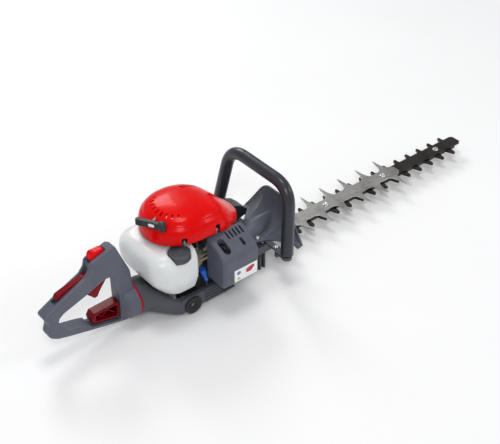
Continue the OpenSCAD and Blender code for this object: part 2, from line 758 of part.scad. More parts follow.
module tank_solid(w) {
    r = 34;
    hull() {
        for (s = [-1, 1]) {
            translate([w - tank_rear + r, s * (tank_half - r - w), tank_z + 46])
                cylinder(r = r, h = tank_h - 60, $fn = 48);
            translate([w - tank_rear + r + 10, s * (tank_half - r - w - 12), tank_z + tank_h - w - 1])
                cylinder(r = r - 4, h = 1, $fn = 32);
            translate([w - tank_rear + 62, s * (tank_half - r - w - 2), tank_z + w])
                cylinder(r = r - 4, h = 1, $fn = 32);
        }
        block([tank_front - 1 - w, w - tank_half, tank_z + w + 2], [tank_front - w, tank_half - w,
            tank_z + tank_h - 15 - w]);
        block([tank_front - 1 - w, w - tank_half + 10, tank_z + w], [tank_front - w, tank_half - w - 10,
            tank_z + tank_h - w]);
    }
}

module fuel_tank() piece([0.9, 0.91, 0.92]) difference() {
    union() {
        difference() {
            tank_solid(0);
            difference() {
                tank_solid(tank_wall);
                bar_z([0, 0, tank_z - 1], well_r + tank_wall, tank_h + 2);
                bar_z([cap_x, cap_y, tank_z], neck_r + 2, tank_h);
            }
        }
        bar_z([cap_x, cap_y, cap_z - 12], neck_r, 16);
    }
    bar_z([0, 0, tank_z - 1], well_r, tank_h + 2);
    bar_z([cap_x, cap_y, cap_z - 18], neck_r - 2.5, 40);
    bar_z([cap_x, cap_y, cap_z - eps], neck_r + 12, 40);
    bar_z([cap_x, cap_y, cap_z - 8], cap_d / 2 + 0.5, 40);
}

module fuel_cap() piece([0.2, 0.2, 0.21]) difference() {
    union() {
        difference() {
            bar_z([cap_x, cap_y, cap_z - 7.5], cap_d / 2, cap_h + 7.5);
            bar_z([cap_x, cap_y, cap_z - 9], neck_r + run_gap, 9 + 4.4);
        }
        // thumb bar across the top
        translate([cap_x, cap_y, cap_z + cap_h - eps]) rotate([0, 0, 25])
            block([-cap_d / 2 + 5, -2.5, 0], [cap_d / 2 - 5, 2.5, 3]);
        bar_z([cap_x, cap_y, cap_z - 6], neck_r - 2.5 - run_gap, 11);
    }
    for (i = [0:23]) rotate_about(cap_x, cap_y, i * 15)
        bar_z([cap_x + cap_d / 2 + 0.3, cap_y, cap_z - 10], 1.2, 30);
}

module rotate_about(x, y, a) translate([x, y, 0]) rotate([0, 0, a]) translate([-x, -y, 0]) children();

module fuel_lines() piece([0.25, 0.2, 0.14]) for (d = [0, 9])
    bar_x([tank_front + 0.5, -carb_y - 9 - d, tank_z + 50], 2.2, 51 - tank_front - 0.8);

// blue connector on its short lead up from the rail
module stop_connector() piece([0.06, 0.3, 0.78]) {
    bar_z([11, 6 - rail_out, rail_h + 0.2], 2.5, 19);
    translate([11, 6 - rail_out, rail_h + 17]) rotate([0, -16, 0]) {
        cylinder(r = 4, h = 20);
        translate([0, 0, 18]) cylinder(r = 6.5, h = 14);
    }
}

// ---------------------------------------------------------------- covers

module cover_hull(w) hull() {
    translate([rim_x, rim_y, rim_z - 1]) cylinder(r = rim_r - w, h = 14 + 1, $fn = 72);
    translate([rim_x, rim_y, cover_top - 22]) cylinder(r = rim_r - 9 - w, h = 4, $fn = 48);
    translate([rim_x + 2, rim_y, cover_top - 6 - w]) cylinder(r = 40 - w, h = 6, $fn = 32);
    for (s = [-1, 1]) {
        translate([shroud_front - 22, s * 34, rim_z - 20]) cylinder(r = 22 - w, h = 10, $fn = 32);
        translate([shroud_front - 52, s * 22, cover_top - 36 - w]) cylinder(r = 22 - w, h = 8, $fn = 32);
    }
}

module cover_screw_spots() for (a = [118, 242, 62, 298])
    translate([rim_x, rim_y, 0]) rotate([0, 0, a]) translate([rim_r - 9, 0, 0]) children();

module starter_cover() piece([0.86, 0.03, 0.04]) difference() {
    intersection() {
        difference() {
            cover_hull(0);
            cover_hull(cover_wall);
            bar_z([rim_x, rim_y, rim_z - 30], rim_r - cover_wall, 31);
        }
        block([-100, -100, rim_z - 1], [cover_split, 100, 300]);
    }
    // ring of cooling slots round the hub
    for (i = [0:8]) translate([rim_x, rim_y, 0]) rotate([0, 0, 100 + i * 20])
        block([40, -3, cover_top - 30], [47, 3, cover_top + 2]);
    // way out for the rope
    at_grip() bar_x([-60, 0, 0], 4, 80);
}

module cylinder_shroud() piece([0.84, 0.03, 0.04]) intersection() {
    difference() {
        cover_hull(0);
        cover_hull(cover_wall);
        block([0, -100, 0], [shroud_front - 8, 100, rim_z - 11]);
        for (s = [-1, 1]) block([92, s * 40 - 8, rim_z - 12], [97, s * 40 + 8, rim_z - 4]);
    }
    block([cover_split + 0.2, -100, rim_z - 16], [shroud_front + 10, 100, 300]);
}

module cover_screws() piece([0.15, 0.15, 0.16]) cover_screw_spots() {
    bar_z([0, 0, rim_z - 8], screw_d / 2, 12);
    bar_z([0, 0, rim_z + 4 - eps], 4.5, 3);
}

module recoil_spring() piece([0.3, 0.31, 0.34]) difference() {
    bar_z([0, 0, reel_z - 9], rope_r - 2, 8);
    bar_z([0, 0, reel_z - 10], shaft_r + 5, 10);
}

module starter_reel() piece([0.1, 0.1, 0.11]) difference() {
    union() {
        bar_z([0, 0, reel_z], reel_r, 2);
        bar_z([0, 0, reel_z], rope_r - 2.1, reel_t);
        bar_z([0, 0, reel_z + reel_t - 2], reel_r, 2);
        bar_z([0, 0, fly_z + fly_h + 10], shaft_r + 3, reel_z - fly_z - fly_h - 10 + eps);
    }
    bar_z([0, 0, reel_z - 1], shaft_r + 1, reel_t + 2);
}

// the rope leaves the reel along a tangent
module at_grip() translate([0, 0, grip_z]) rotate([0, 0, pull_yaw]) translate([grip_out, -rope_r,
    0]) children();

module starter_grip() piece([0.05, 0.06, 0.07]) at_grip() {
    difference() {
        hull() for (s = [-1, 1])
            translate([-5, s * (grip_len / 2 - 5), -grip_t / 2]) cylinder(r = 5, h = grip_t, $fn = 32);
        bar_x([-11, 0, 0], 1.8, 7);
    }
    bar_z([-5, grip_len / 2 - 7, -grip_t / 2 - 2], 7, grip_t + 5);
}

module starter_rope() piece([0.8, 0.8, 0.76]) at_grip() bar_x([-72, 0, 0], 1.75, 67.5);

// ---------------------------------------------------------------- frame

module neck_disc(x0, x1, r) bar_x([x0, 0, swivel_z], r, x1 - x0);

module frame() piece([0.24, 0.25, 0.27]) difference() {
    union() {
        hull() {
            translate([neck_x, 0, swivel_z]) rotate([0, 90, 0]) cylinder(r = collar_r - 0.7, h = 12,
                $fn = 48);
            both_sides() {
                block([tray_rear, 0, 0], [tray_rear + 1, rail_in, 2]);
                block([tray_rear, 0, 12], [tray_rear + 1, rail_out, rail_h + 2]);
            }
        }
        both_sides() {
            translate([tray_rear, 0, 0]) rotate([90, 0, 90]) linear_extrude(rail_front - tray_rear)
                polygon([[rail_in - 6, 0], [rail_in + 2, 0], [rail_out, 12], [rail_out, rail_h],
                    [rail_in, rail_h], [rail_in, 5], [rail_in - 6, 5]]);
            // grip ribs outside the rails
            for (i = [0:3]) {
                block([av_x + 28, rail_out - eps, 13 + i * 7], [rail_front - 2, rail_out + 2, 17 + i * 7]);
            }
        }
        // cross beam under the front of the rails
        block([-60, -rail_in + 12, 0], [-46, rail_in - 12, 5]);
        // spigot and flange that the rear handle closes round
        neck_disc(neck_x - 22, neck_x + eps, spigot_r);
        neck_disc(neck_x - 22, neck_x - 17, spigot_r + 5);
    }
    // open tray in front of the neck, clear of the tank's rounded bottom
    hull() {
        block([-84, -22, 26], [-83, 22, 100]);
        block([-60, -rail_in + 6, 8], [-59, rail_in - 6, 100]);
    }
    block([-60, -rail_in + 5.99, 5], [rail_front + 1, rail_in - 5.99, 100]);
    block([-60, -rail_in, 10], [rail_front + 1, rail_in, 100]);
    tank_solid(-2);
    // the throttle cable's way through the swivel
    neck_disc(neck_x - 30, -80, 8);
    both_sides() for (x = [av_x, av_front_x]) bar_y([x, rail_in - 1, av_z], av_core_r, 30);
}

module av_buffers() piece([0.06, 0.06, 0.06]) both_sides() {
    difference() {
        union() {
            bar_y([av_x, 24, av_z], av_core_r, rail_out - 24 + 1);
            bar_y([av_x, rail_out + 0.05, av_z], av_r, 4);
        }
        bar_y([av_x, 0, av_z], 4, 100);
    }
    difference() {
        bar_y([av_front_x, case_r + 0.5, av_z], av_core_r, rail_out - case_r);
        bar_y([av_front_x, 0, av_z], 4, 100);
    }
}

module av_bolts() piece([0.5, 0.5, 0.52]) both_sides() {
    bar_y([av_x, 24, av_z], 4, rail_out - 24);
    bar_y([av_front_x, case_r + 0.5, av_z], 4, rail_out - case_r - 3);
}

// ---------------------------------------------------------------- rear handle

// outer outline in the XZ plane, from the collar round the peak and back
function handle_outline() = [
    [collar_x, sz + collar_r - 3], [collar_x - 3, sz + 76], [-157, peak_z - 3], [-161, peak_z],
    [-205, peak_z - 13], [-209, peak_z - 16], [-212, peak_z - 30], [-222, peak_z - 42],
    [hr + 42, sz + 84], [hr + 10, sz + 67], [hr + 2, sz + 63], [hr, sz + 58], [hr + 9, sz + 42],
    [hr + 10, sz + 32], [hr + 5, sz + 18], [hr + 8, sz + 10], [hr + 22, sz + 2], [-268, sz - 6],
    [-213, sz - 20], [-171, sz - 30], [-141, sz - 36], [collar_x, sz - collar_r]];

function loop_outline() = [[-155, sz + 20], [-156, sz + 66], [-170, sz + 84], [-183, sz + 85],
    [-225, sz + 69], [hr + 39, sz + 54], [hr + 29, sz + 47], [hr + 26, sz + 38], [hr + 28, sz + 18],
    [hr + 36, sz + 12], [-236, sz + 2], [-222, sz - 3], [-218, sz - 10], [-155, sz - 26]];

module in_side(t) rotate([90, 0, 0]) linear_extrude(t, center = true) children();

module handle_solid() difference() {
    union() {
        in_side(handle_w) polygon(handle_outline());
        // collar, tapering to the narrow body
        bar_x([collar_x - 8, 0, sz], collar_r, 8);
        hull() {
            bar_x([collar_x - 10, 0, sz], collar_r, 3);
            block([collar_x - 28, -h, sz - 26], [collar_x - 27, h, sz + 30]);
        }
        neck_disc(collar_x - 25, collar_x, spigot_r + 8);
    }
    in_side(handle_w + 60) polygon(loop_outline());
}

module handle_cavities() {
    // swivel seat
    neck_disc(collar_x - 25, collar_x + 5, spigot_r + run_gap);
    neck_disc(neck_x - 22.4, neck_x - 16.6, spigot_r + 5 + run_gap);
    neck_disc(-170, collar_x, 6);
    // room for the throttle lock, the trigger and the switch
    block([-284, -lever_half - run_gap, sz + 66], [-208, lever_half + run_gap, sz + 130]);
    block([-232, -lever_half - run_gap, sz + 60], [-168, lever_half + run_gap, sz + 102]);
    translate([switch_x, 0, peak_z - 6]) rotate([0, -switch_pitch, 0])
        block([-17.5, -7, -16], [17.5, 7, 20]);
    // room for the swivel lock's stem
    block([-160, -9.4, sz - 22], [-144, 9.4, sz + 14]);
    for (p = [trigger_pin, lock_pin]) bar_y([p[0], -h + 3, p[1]], pin_r, handle_w - 6);
    handle_screw_holes();
}

handle_screw_spots = [[-166, sz + 118], [-140, sz + 62], [hr + 36, sz + 66], [hr + 18, sz + 18], [-178,
    sz - 21]];

module handle_screw_holes() for (p = handle_screw_spots) {
    bar_y([p[0], -h + 4, p[1]], 1.8, handle_w);
    bar_y([p[0], h - 5, p[1]], 3.6, 6);
}

module handle_half(s) intersection() {
    difference() {
        handle_solid();
        handle_cavities();
    }
    mirror([0, s, 0]) block([-400, 0.02, -20], [collar_x + 1, 60, 300]);
}

module rear_handle_left() piece([0.37, 0.39, 0.43]) handle_half(0);
module rear_handle_right() piece([0.37, 0.39, 0.43]) handle_half(1);

module rear_handle_screws() piece([0.6, 0.6, 0.62]) for (p = handle_screw_spots) {
    bar_y([p[0], -h + 5, p[1]], 1.75, handle_w - 9);
    bar_y([p[0], h - 5 + eps, p[1]], 3.5, 2.6);
}

module swivel_ring() piece([0.8, 0.06, 0.14]) difference() {
    neck_disc(collar_x + 0.02, neck_x - run_gap, collar_r - 0.3);
    neck_disc(collar_x - 1, neck_x, spigot_r + run_gap);
}

module trigger_pins() piece([0.7, 0.71, 0.73])
    for (p = [trigger_pin, lock_pin]) bar_y([p[0], -h + 3.1, p[1]], pin_r, handle_w - 6.2);

module lever_plate(points, pin, half) difference() {
    in_side(2 * half) union() {
        polygon(points);
        translate(pin) circle(5);
    }
    bar_y([pin[0], -20, pin[1]], pin_r + 0.05, 40);
}

module throttle_trigger() piece([0.5, 0.03, 0.1]) lever_plate(
    [[-184, sz + 98], [-200, sz + 84], [-214, sz + 70], [-218, sz + 62], [-202, sz + 45],
     [-196, sz + 46], [-190, sz + 56], [-172, sz + 80], [-170, sz + 96]], trigger_pin, lever_half);

module throttle_lock() piece([0.52, 0.03, 0.1]) lever_plate(
    [[-210, sz + 106], [-222, sz + 105], [-250, sz + 98.5], [-276, sz + 91], [-280, sz + 85],
     [-278, sz + 80], [-250, sz + 87], [-222, sz + 93], [-212, sz + 92]], lock_pin, lever_half);

module stop_switch() piece([0.93, 0.03, 0.07]) translate([switch_x, 0, peak_z - 6]) rotate([0,
    -switch_pitch, 0])
    difference() {
        in_side(13.2) polygon([[-15, -5], [-15, 2], [-10, 9], [-6, 10.5], [0, 8], [13, 5], [15, 3], [15,
            -5]]);
        bar_y([0, -10, -4], 1.5, 20);
    }

module swivel_lock_trigger() piece([0.55, 0.02, 0.08]) difference() {
    union() {
        in_side(22) polygon([[-210, sz + 14], [-157, sz + 16], [-156, sz - 20], [-214, sz - 8], [-216,
            sz + 4]]);
        in_side(18) polygon([[-158, sz - 20], [-158, sz + 12], [-146, sz + 12], [-146, sz - 20]]);
    }
    // hollow back with two cross ribs
    for (q = [[-208, -192], [-190, -175], [-173, -160]])
        block([q[0], -12, sz - 12 + (q[0] < -200 ? 8 : q[0] < -180 ? 3 : 0)], [q[1], 8, sz + 11]);
}

// ---------------------------------------------------------------- front handle

leg_top = loop_half - 20;
leg_lean = atan((loop_half - leg_top) / (loop_z - foot_z));
corner_turn = 90 - leg_lean;
corner_in = loop_bend * tan(corner_turn / 2);

// straight run of tube whose core reaches into the bends at its ends
module tube_z(l, core_top, core_foot) {
    bar_z([0, 0, eps], tube_r, l - 2 * eps);
    bar_z([0, 0, -core_foot], tube_r - 1.5, l + core_top + core_foot);
}

module front_handle() piece([0.23, 0.24, 0.27])
    translate([loop_x, 0, foot_z]) rotate([0, loop_tilt, 0]) translate([0, 0, -foot_z]) {
    translate([0, -leg_top + corner_in, loop_z]) rotate([-90, 0, 0])
        tube_z(2 * (leg_top - corner_in), 3, 3);
    both_sides() {
        translate([0, leg_top - corner_in, loop_z - loop_bend]) rotate([0, 90, 0])
            rotate([0, 0, 180 - corner_turn]) rotate_extrude(angle = corner_turn)
            translate([loop_bend, 0]) circle(tube_r);
        // straight leg down to its foot
        translate([0, leg_top + corner_in * sin(leg_lean), loop_z - corner_in * cos(leg_lean)])
            rotate([leg_lean, 0, 0]) translate([0, 0, -leg_len]) tube_z(leg_len, 3, 0);
    }
}

leg_len = (loop_z - foot_z) / cos(leg_lean) - corner_in;

module handle_bracket() piece([0.1, 0.1, 0.11]) {
    // yoke bar across the nose, with a cup for each leg
    difference() {
        block([bar_x0, -riser_y - 7, case_top + 1], [bar_x0 + 12, riser_y + 7, case_top + 1 + bracket_t]);
        both_sides() bar_z([bar_x0 + 6, 64, 0], screw_d / 2, 100);
    }
    both_sides() {
        // raised end that the leg's foot sits over
        block([loop_x - 8, riser_y, case_top + 1], [bar_x0 + 12, riser_y + 7, arm_z + bracket_t]);
        block([loop_x - 8, riser_y, arm_z], [loop_x + 8, loop_half + 4, arm_z + bracket_t]);
        bar_z([loop_x, loop_half, arm_z], tube_r - 2.5, foot_z - arm_z - 2.2);
        // arms back to the gear case flank
        block([nose_end - 26, nose_half + 5.1, case_top - 9], [bar_x0 + 12, nose_half + 10, case_top + 4]);
    }
}

module bracket_bolts() piece([0.7, 0.71, 0.73]) both_sides()
    screw_z([bar_x0 + 6, 64, case_top + 1 + bracket_t], screw_d, 8);

// ---------------------------------------------------------------- hand guard

// half outline of the guard plate, from its top middle to its foot
function shield_half_outline() = [[0, shield_z], [22, shield_z], [28, shield_z - 2], [34, shield_z - 8],
    [shield_half - 3, 62], [shield_half, 56], [shield_half, 50], [shield_half - 6, 44], [0, 44]];

module shield2d() union() for (s = [0, 1]) mirror([s, 0]) polygon(shield_half_outline());

module hand_guard() piece([0.3, 0.31, 0.34]) difference() {
    union() {
        // upright plate
        translate([guard_x, 0, 0]) rotate([90, 0, 90]) linear_extrude(shield_t) shield2d();
        // base over the gear case nose
        block([100, -33, pad_z], [guard_x + 1, 33, pad_z + 4]);
        both_sides() block([185, 30, pad_z - 8], [guard_x + 1, shield_half - 6, pad_z - 4]);
        both_sides() block([185, 29, pad_z - 8], [guard_x + 1, 33, pad_z + 4]);
        // middle ridge that carries the plate
        hull() {
            block([136, -9, pad_z + 3], [guard_x + 1, 9, pad_z + 5]);
            block([146, -5, pad_z + 32], [176, 5, pad_z + 34]);
            block([guard_x, -7, pad_z + 26], [guard_x + 1, 7, pad_z + 28]);
        }
        // side gussets
        both_sides() hull() {
            block([190, 34, pad_z - 8], [guard_x + 1, 37, pad_z - 6]);
            block([guard_x, 34, pad_z + 40], [guard_x + 1, 37, pad_z + 42]);
        }
    }
    both_sides() for (x = [shield_bolts[0], 112]) bar_z([x, shield_bolts[1], pad_z - 1], screw_d / 2, 12);
    // opening for the bar and blades
    block([guard_x - 3, -tooth_reach - 6, 30], [guard_x + 9, tooth_reach + 6, plate_top + 10]);
    block([guard_x - 3, -tooth_reach - 6, blade_z - 6], [guard_x + 9, tooth_reach + 6, 40]);
}

module guard_screws() piece([0.82, 0.83, 0.85]) both_sides() for (x = [shield_bolts[0], 112])
    screw_z([x, shield_bolts[1], pad_z + 4], screw_d, pad_z + 4 - case_top + 6);

frame();
av_buffers();
av_bolts();
gearcase_lower();
gearcase_upper();
gearcase_screws();
shaft_bearings();
clutch_housing();
crankcase();
engine_cylinder();
piston();
spark_plug();
plug_boot();
plug_lead();
ignition_coil();
intake_insulator();
carburetor();
air_filter_base();
air_filter_element();
air_filter_cover();
cover_label();
muffler();
muffler_guard();
fuel_tank();
fuel_lines();
stop_connector();
starter_cover();
cylinder_shroud();
cover_screws();
recoil_spring();
support_bar();
tooth_guard();
blade_bolts();
hand_guard();
guard_screws();
front_handle();
handle_bracket();
bracket_bolts();
rear_handle_left();
rear_handle_right();
rear_handle_screws();
swivel_ring();
trigger_pins();
throttle_trigger();
throttle_lock();
stop_switch();
swivel_lock_trigger();
fuel_cap();
choke_lever();
primer_bulb();
starter_grip();
starter_rope();
starter_reel();
crankshaft();
flywheel();
clutch_shoes();
clutch_drum();
cam_gear();
upper_blade();
lower_blade();
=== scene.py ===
"""Hedge trimmer: finished looks around the fixed frame of its moving parts."""

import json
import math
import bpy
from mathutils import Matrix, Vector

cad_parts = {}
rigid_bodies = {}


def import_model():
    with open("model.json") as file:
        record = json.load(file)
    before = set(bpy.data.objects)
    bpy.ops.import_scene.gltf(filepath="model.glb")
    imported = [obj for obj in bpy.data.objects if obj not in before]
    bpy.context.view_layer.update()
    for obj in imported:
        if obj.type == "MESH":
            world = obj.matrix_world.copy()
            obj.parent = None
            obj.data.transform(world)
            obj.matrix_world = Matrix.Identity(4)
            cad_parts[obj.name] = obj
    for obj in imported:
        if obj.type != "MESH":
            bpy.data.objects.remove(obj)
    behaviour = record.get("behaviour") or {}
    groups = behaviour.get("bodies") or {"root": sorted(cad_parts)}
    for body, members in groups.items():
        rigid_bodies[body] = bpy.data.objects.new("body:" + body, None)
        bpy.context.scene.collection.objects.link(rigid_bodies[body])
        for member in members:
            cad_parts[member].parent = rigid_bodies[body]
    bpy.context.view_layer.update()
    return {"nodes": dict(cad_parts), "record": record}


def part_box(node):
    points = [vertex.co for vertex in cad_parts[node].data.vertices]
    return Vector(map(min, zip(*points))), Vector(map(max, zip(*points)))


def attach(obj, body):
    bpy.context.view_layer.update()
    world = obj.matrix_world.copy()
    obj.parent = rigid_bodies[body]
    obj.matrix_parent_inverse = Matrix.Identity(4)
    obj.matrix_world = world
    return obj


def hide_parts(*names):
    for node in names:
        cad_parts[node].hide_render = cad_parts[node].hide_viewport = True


bl_info = {
    "name": "Hedge Trimmer Looks",
    "version": (1, 0, 0),
    "blender": (4, 5, 0),
    "location": "3D View > Sidebar > Trimmer",
    "description": "Builds the covers, handles, blades and finishes of a petrol hedge trimmer",
    "category": "Object",
}

import bpy
import bmesh
import numpy as np
from bpy.props import FloatProperty, FloatVectorProperty, IntProperty, PointerProperty
from mathutils import Matrix, Vector
from mathutils.geometry import intersect_line_line_2d, tessellate_polygon

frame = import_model()
SCENE = bpy.context.scene


def mid(node):
    low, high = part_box(node)
    return (low + high) / 2


# pieces are drawn in millimetres from the crank axis, then set down in the frame's metres
CRANK = Vector((mid("flywheel").x, 0.0, 0.0))
PLACE = Matrix.Translation(CRANK) @ Matrix.Scale(0.001, 4)
SLOT_OF = {part["node"]: part["material_slot"] for part in frame["record"]["subparts"]}
BODY_OF = {n: b for b, ns in frame["record"]["behaviour"]["bodies"].items() for n in ns}


def local_box(node):
    """A CAD node's corners in the drawing's millimetres."""
    low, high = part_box(node)
    return [(low[0] - CRANK.x) * 1000, low[1] * 1000, low[2] * 1000], \
        [(high[0] - CRANK.x) * 1000, high[1] * 1000, high[2] * 1000]


# ------------------------------------------------------------------ mesh tools

# points closer than this, in millimetres, become one
MERGE_GAP = 1e-4


def add_mesh(name, verts, faces):
    mesh = bpy.data.meshes.new(name)
    mesh.from_pydata([tuple(v) for v in verts], [], faces)
    mesh.validate()
    piece = bpy.data.objects.new(name, mesh)
    SCENE.collection.objects.link(piece)
    return piece


def drop(*objects):
    for o in objects:
        bpy.data.objects.remove(o, do_unlink=True)


def evaluate(piece):
    """Turns the piece and its modifiers into one plain mesh."""
    bpy.context.view_layer.update()
    graph = bpy.context.evaluated_depsgraph_get()
    mesh = bpy.data.meshes.new_from_object(piece.evaluated_get(graph))
    piece.modifiers.clear()
    piece.data = mesh
    return piece


def outward(piece):
    """Merges doubles and points every face outwards."""
    bm = bmesh.new()
    bm.from_mesh(piece.data)
    bmesh.ops.remove_doubles(bm, verts=bm.verts, dist=MERGE_GAP)
    bmesh.ops.recalc_face_normals(bm, faces=bm.faces)
    bm.to_mesh(piece.data)
    bm.free()
    return piece


def cut(piece, *cutters, how="DIFFERENCE"):
    """Takes the cutters away from the piece one after another, or joins or crosses them with it."""
    for cutter in cutters:
        m = piece.modifiers.new("cut", "BOOLEAN")
        m.object = cutter
        m.operation = how
        m.solver = "MANIFOLD"
        evaluate(piece)
        drop(cutter)
    return piece


def merge(name, pieces):
    """Puts several pieces in one mesh, each still a closed shape of its own."""
    bm = bmesh.new()
    for p in pieces:
        bm.from_mesh(p.data)
    mesh = bpy.data.meshes.new(name)
    bm.to_mesh(mesh)
    bm.free()
    drop(*pieces)
    whole = bpy.data.objects.new(name, mesh)
    SCENE.collection.objects.link(whole)
    return whole


def turn(piece, degrees, axis, about=(0, 0, 0)):
    """Turns a piece's mesh about one axis through a point."""
    c = Vector(about)
    piece.data.transform(Matrix.Translation(c) @ Matrix.Rotation(math.radians(degrees), 4, axis)
                         @ Matrix.Translation(-c))
    return piece


def move(piece, x, y, z):
    """Shifts a piece's mesh."""
    piece.data.transform(Matrix.Translation((x, y, z)))
    return piece


def mirrored(piece, name):
    """A copy on the other side of the machine."""
    mesh = piece.data.copy()
    mesh.transform(Matrix.Scale(-1, 4, (0, 1, 0)))
    mesh.flip_normals()
    twin = bpy.data.objects.new(name, mesh)
    SCENE.collection.objects.link(twin)
    return twin


def soft_edges(piece, width, segments=3, angle=35):
    m = piece.modifiers.new("edge", "BEVEL")
    m.width = width
    m.segments = segments
    m.limit_method = "ANGLE"
    m.angle_limit = math.radians(angle)
    m.use_clamp_overlap = True
    m.miter_outer = "MITER_ARC"
    return evaluate(piece)


def fillet(points, radius, steps=5):
    """Rounds the corners of a closed outline. A point may carry its own radius."""
    n = len(points)
    out = []
    for i in range(n):
        p = Vector(points[i][:2])
        r = points[i][2] if len(points[i]) > 2 else radius
        a = Vector(points[i - 1][:2]) - p
        b = Vector(points[(i + 1) % n][:2]) - p
        la, lb = a.length, b.length
        a.normalize()
        b.normalize()
        spread = a.angle(b, math.pi)
        if r <= 0.01 or spread > math.radians(176):
            out.append(p)
            continue
        reach = min(r / math.tan(spread / 2), 0.48 * la, 0.48 * lb)
        r = reach * math.tan(spread / 2)
        centre = p + (a + b).normalized() * (r / math.sin(spread / 2))
        start, end = p + a * reach - centre, p + b * reach - centre
        sweep = start.angle_signed(end)
        count = max(2, min(14, int(steps * abs(sweep) / 1.0) + 2))
        for k in range(count + 1):
            ang = -sweep * k / count
            c, s = math.cos(ang), math.sin(ang)
            out.append(centre + Vector((start.x * c - start.y * s, start.x * s + start.y * c)))
    return out


# how far a side is drawn on past its ends to find where it crosses another, in its own lengths
LONG = 50


def area(loop):
    """Signed area of a closed outline, positive when it runs anticlockwise."""
    return sum(loop[i - 1][0] * loop[i][1] - loop[i][0] * loop[i - 1][1] for i in range(len(loop))) / 2


def inset(loop, d):
    """Moves a closed outline inwards by d. The material lies on its left."""
    if d == 0:
        return [Vector(p) for p in loop]
    out = []
    n = len(loop)
    for i in range(n):
        a = (Vector(loop[i]) - Vector(loop[i - 1])).normalized()
        b = (Vector(loop[(i + 1) % n]) - Vector(loop[i])).normalized()
        na, nb = Vector((-a.y, a.x)), Vector((-b.y, b.x))
        out.append(Vector(loop[i]) + (na + nb) * (d / max(0.35, 1 + na.dot(nb))))
    # corners tighter than d fold over, so their points meet where the neighbouring sides cross
    back = [(out[(i + 1) % n] - out[i]).dot(Vector(loop[(i + 1) % n]) - Vector(loop[i])) <= 0 for i in range(n)]
    if any(back) and not all(back):
        i = first = next(k for k in range(n) if not back[k] and back[(k + 1) % n])
        while i < first + n:
            if back[(i + 1) % n] and not back[i % n]:
                j = i + 1
                while back[j % n]:
                    j += 1
                p, q, r, t = out[i % n], out[(i + 1) % n], out[j % n], out[(j + 1) % n]
                meet = intersect_line_line_2d(*[e + (e - f) * LONG for e, f in ((p, q), (q, p), (r, t), (t, r))])
                meet = meet or (q + r) / 2
                for k in range(i + 1, j + 1):
                    out[k % n] = Vector(meet)
                i = j
            else:
                i += 1
    return out


def prism(name, outline, low, high, edge=0.0, axis="z", edge_low=None, steps=4):
    """A plate of any outline with rounded long edges, standing along one axis."""
    loop = list(outline) if area(outline) > 0 else list(outline)[::-1]
    edge_low = edge if edge_low is None else edge_low
    turns = [math.pi / 2 * k / steps for k in range(steps + 1)]
    rows = [(edge_low * (1 - math.sin(t)), low + edge_low * (1 - math.cos(t))) for t in turns]
    if edge_low <= 0:
        rows = [(0.0, low)]
    if edge > 0:
        rows += [(edge * (1 - math.cos(t)), high - edge + edge * math.sin(t)) for t in turns]
    else:
        rows.append((0.0, high))
    n = len(loop)
    verts = [Vector((p[0], p[1], h)) for d, h in rows for p in inset(loop, d)]
    faces = [(r * n + i, r * n + (i + 1) % n, (r + 1) * n + (i + 1) % n, (r + 1) * n + i)
             for r in range(len(rows) - 1) for i in range(n)]
    for first in (0, (len(rows) - 1) * n):
        for tri in tessellate_polygon([[Vector((v.x, v.y, 0)) for v in verts[first:first + n]]]):
            face = [first + i for i in tri]
            faces.append(face[::-1] if first else face)
    turned = {"z": lambda p: (p.x, p.y, p.z), "y": lambda p: (p.x, p.z, p.y), "x": lambda p: (p.z, p.x, p.y)}[axis]
    return outward(add_mesh(name, [turned(v) for v in verts], faces))


def box_piece(name, low, high, edge=0.0):
    """A block between two corners with rounded edges."""
    outline = fillet([(low[0], low[1]), (high[0], low[1]), (high[0], high[1]), (low[0], high[1])], edge, 5)
    return prism(name, outline, low[2], high[2], edge, steps=3)


def lathe(name, profile, centre, axis="z", steps=48):
    """A turned piece: profile is a list of (radius, height) from one end to the other."""
    verts, faces = [], []
    n = len(profile)
    for k in range(steps):
        a = 2 * math.pi * k / steps
        for r, h in profile:
            verts.append(Vector((r * math.cos(a), r * math.sin(a), h)))
    for k in range(steps):
        m = (k + 1) % steps
        for i in range(n - 1):
            faces.append((k * n + i, m * n + i, m * n + i + 1, k * n + i + 1))
    if profile[0][0] > 1e-6:
        faces.append([k * n for k in range(steps)][::-1])
    if profile[-1][0] > 1e-6:
        faces.append([k * n + n - 1 for k in range(steps)])
    turned = {"z": lambda p: p, "y": lambda p: Vector((p.x, p.z, p.y)), "x": lambda p: Vector((p.z, p.x, p.y))}[axis]
    return outward(add_mesh(name, [turned(v) + Vector(centre) for v in verts], faces))


def loft(name, rings):
    """A skin through rings of equal count, closed at both ends."""
    n = len(rings[0])
    verts = [Vector(p) for ring in rings for p in ring]
    faces = []
    for r in range(len(rings) - 1):
        for i in range(n):
            j = (i + 1) % n
            faces.append((r * n + i, r * n + j, (r + 1) * n + j, (r + 1) * n + i))
    faces.append(list(range(n))[::-1])
    faces.append([(len(rings) - 1) * n + i for i in range(n)])
    return outward(add_mesh(name, verts, faces))


def tube(name, path, radius, sides=28):
    """A round bar along a path; radius may be one number or one for each point."""
    pts = [Vector(p) for p in path]
    radii = radius if hasattr(radius, "__len__") else [radius] * len(pts)
    rings = []
    side = None
    for i, p in enumerate(pts):
        along = (pts[min(i + 1, len(pts) - 1)] - pts[max(i - 1, 0)]).normalized()
        if side is None:
            side = along.orthogonal().normalized()
        side = (side - along * side.dot(along)).normalized()
        up = along.cross(side)
        rings.append([p + (side * math.cos(2 * math.pi * k / sides) + up * math.sin(2 * math.pi * k / sides)) * radii[i]
                      for k in range(sides)])
    return loft(name, rings)


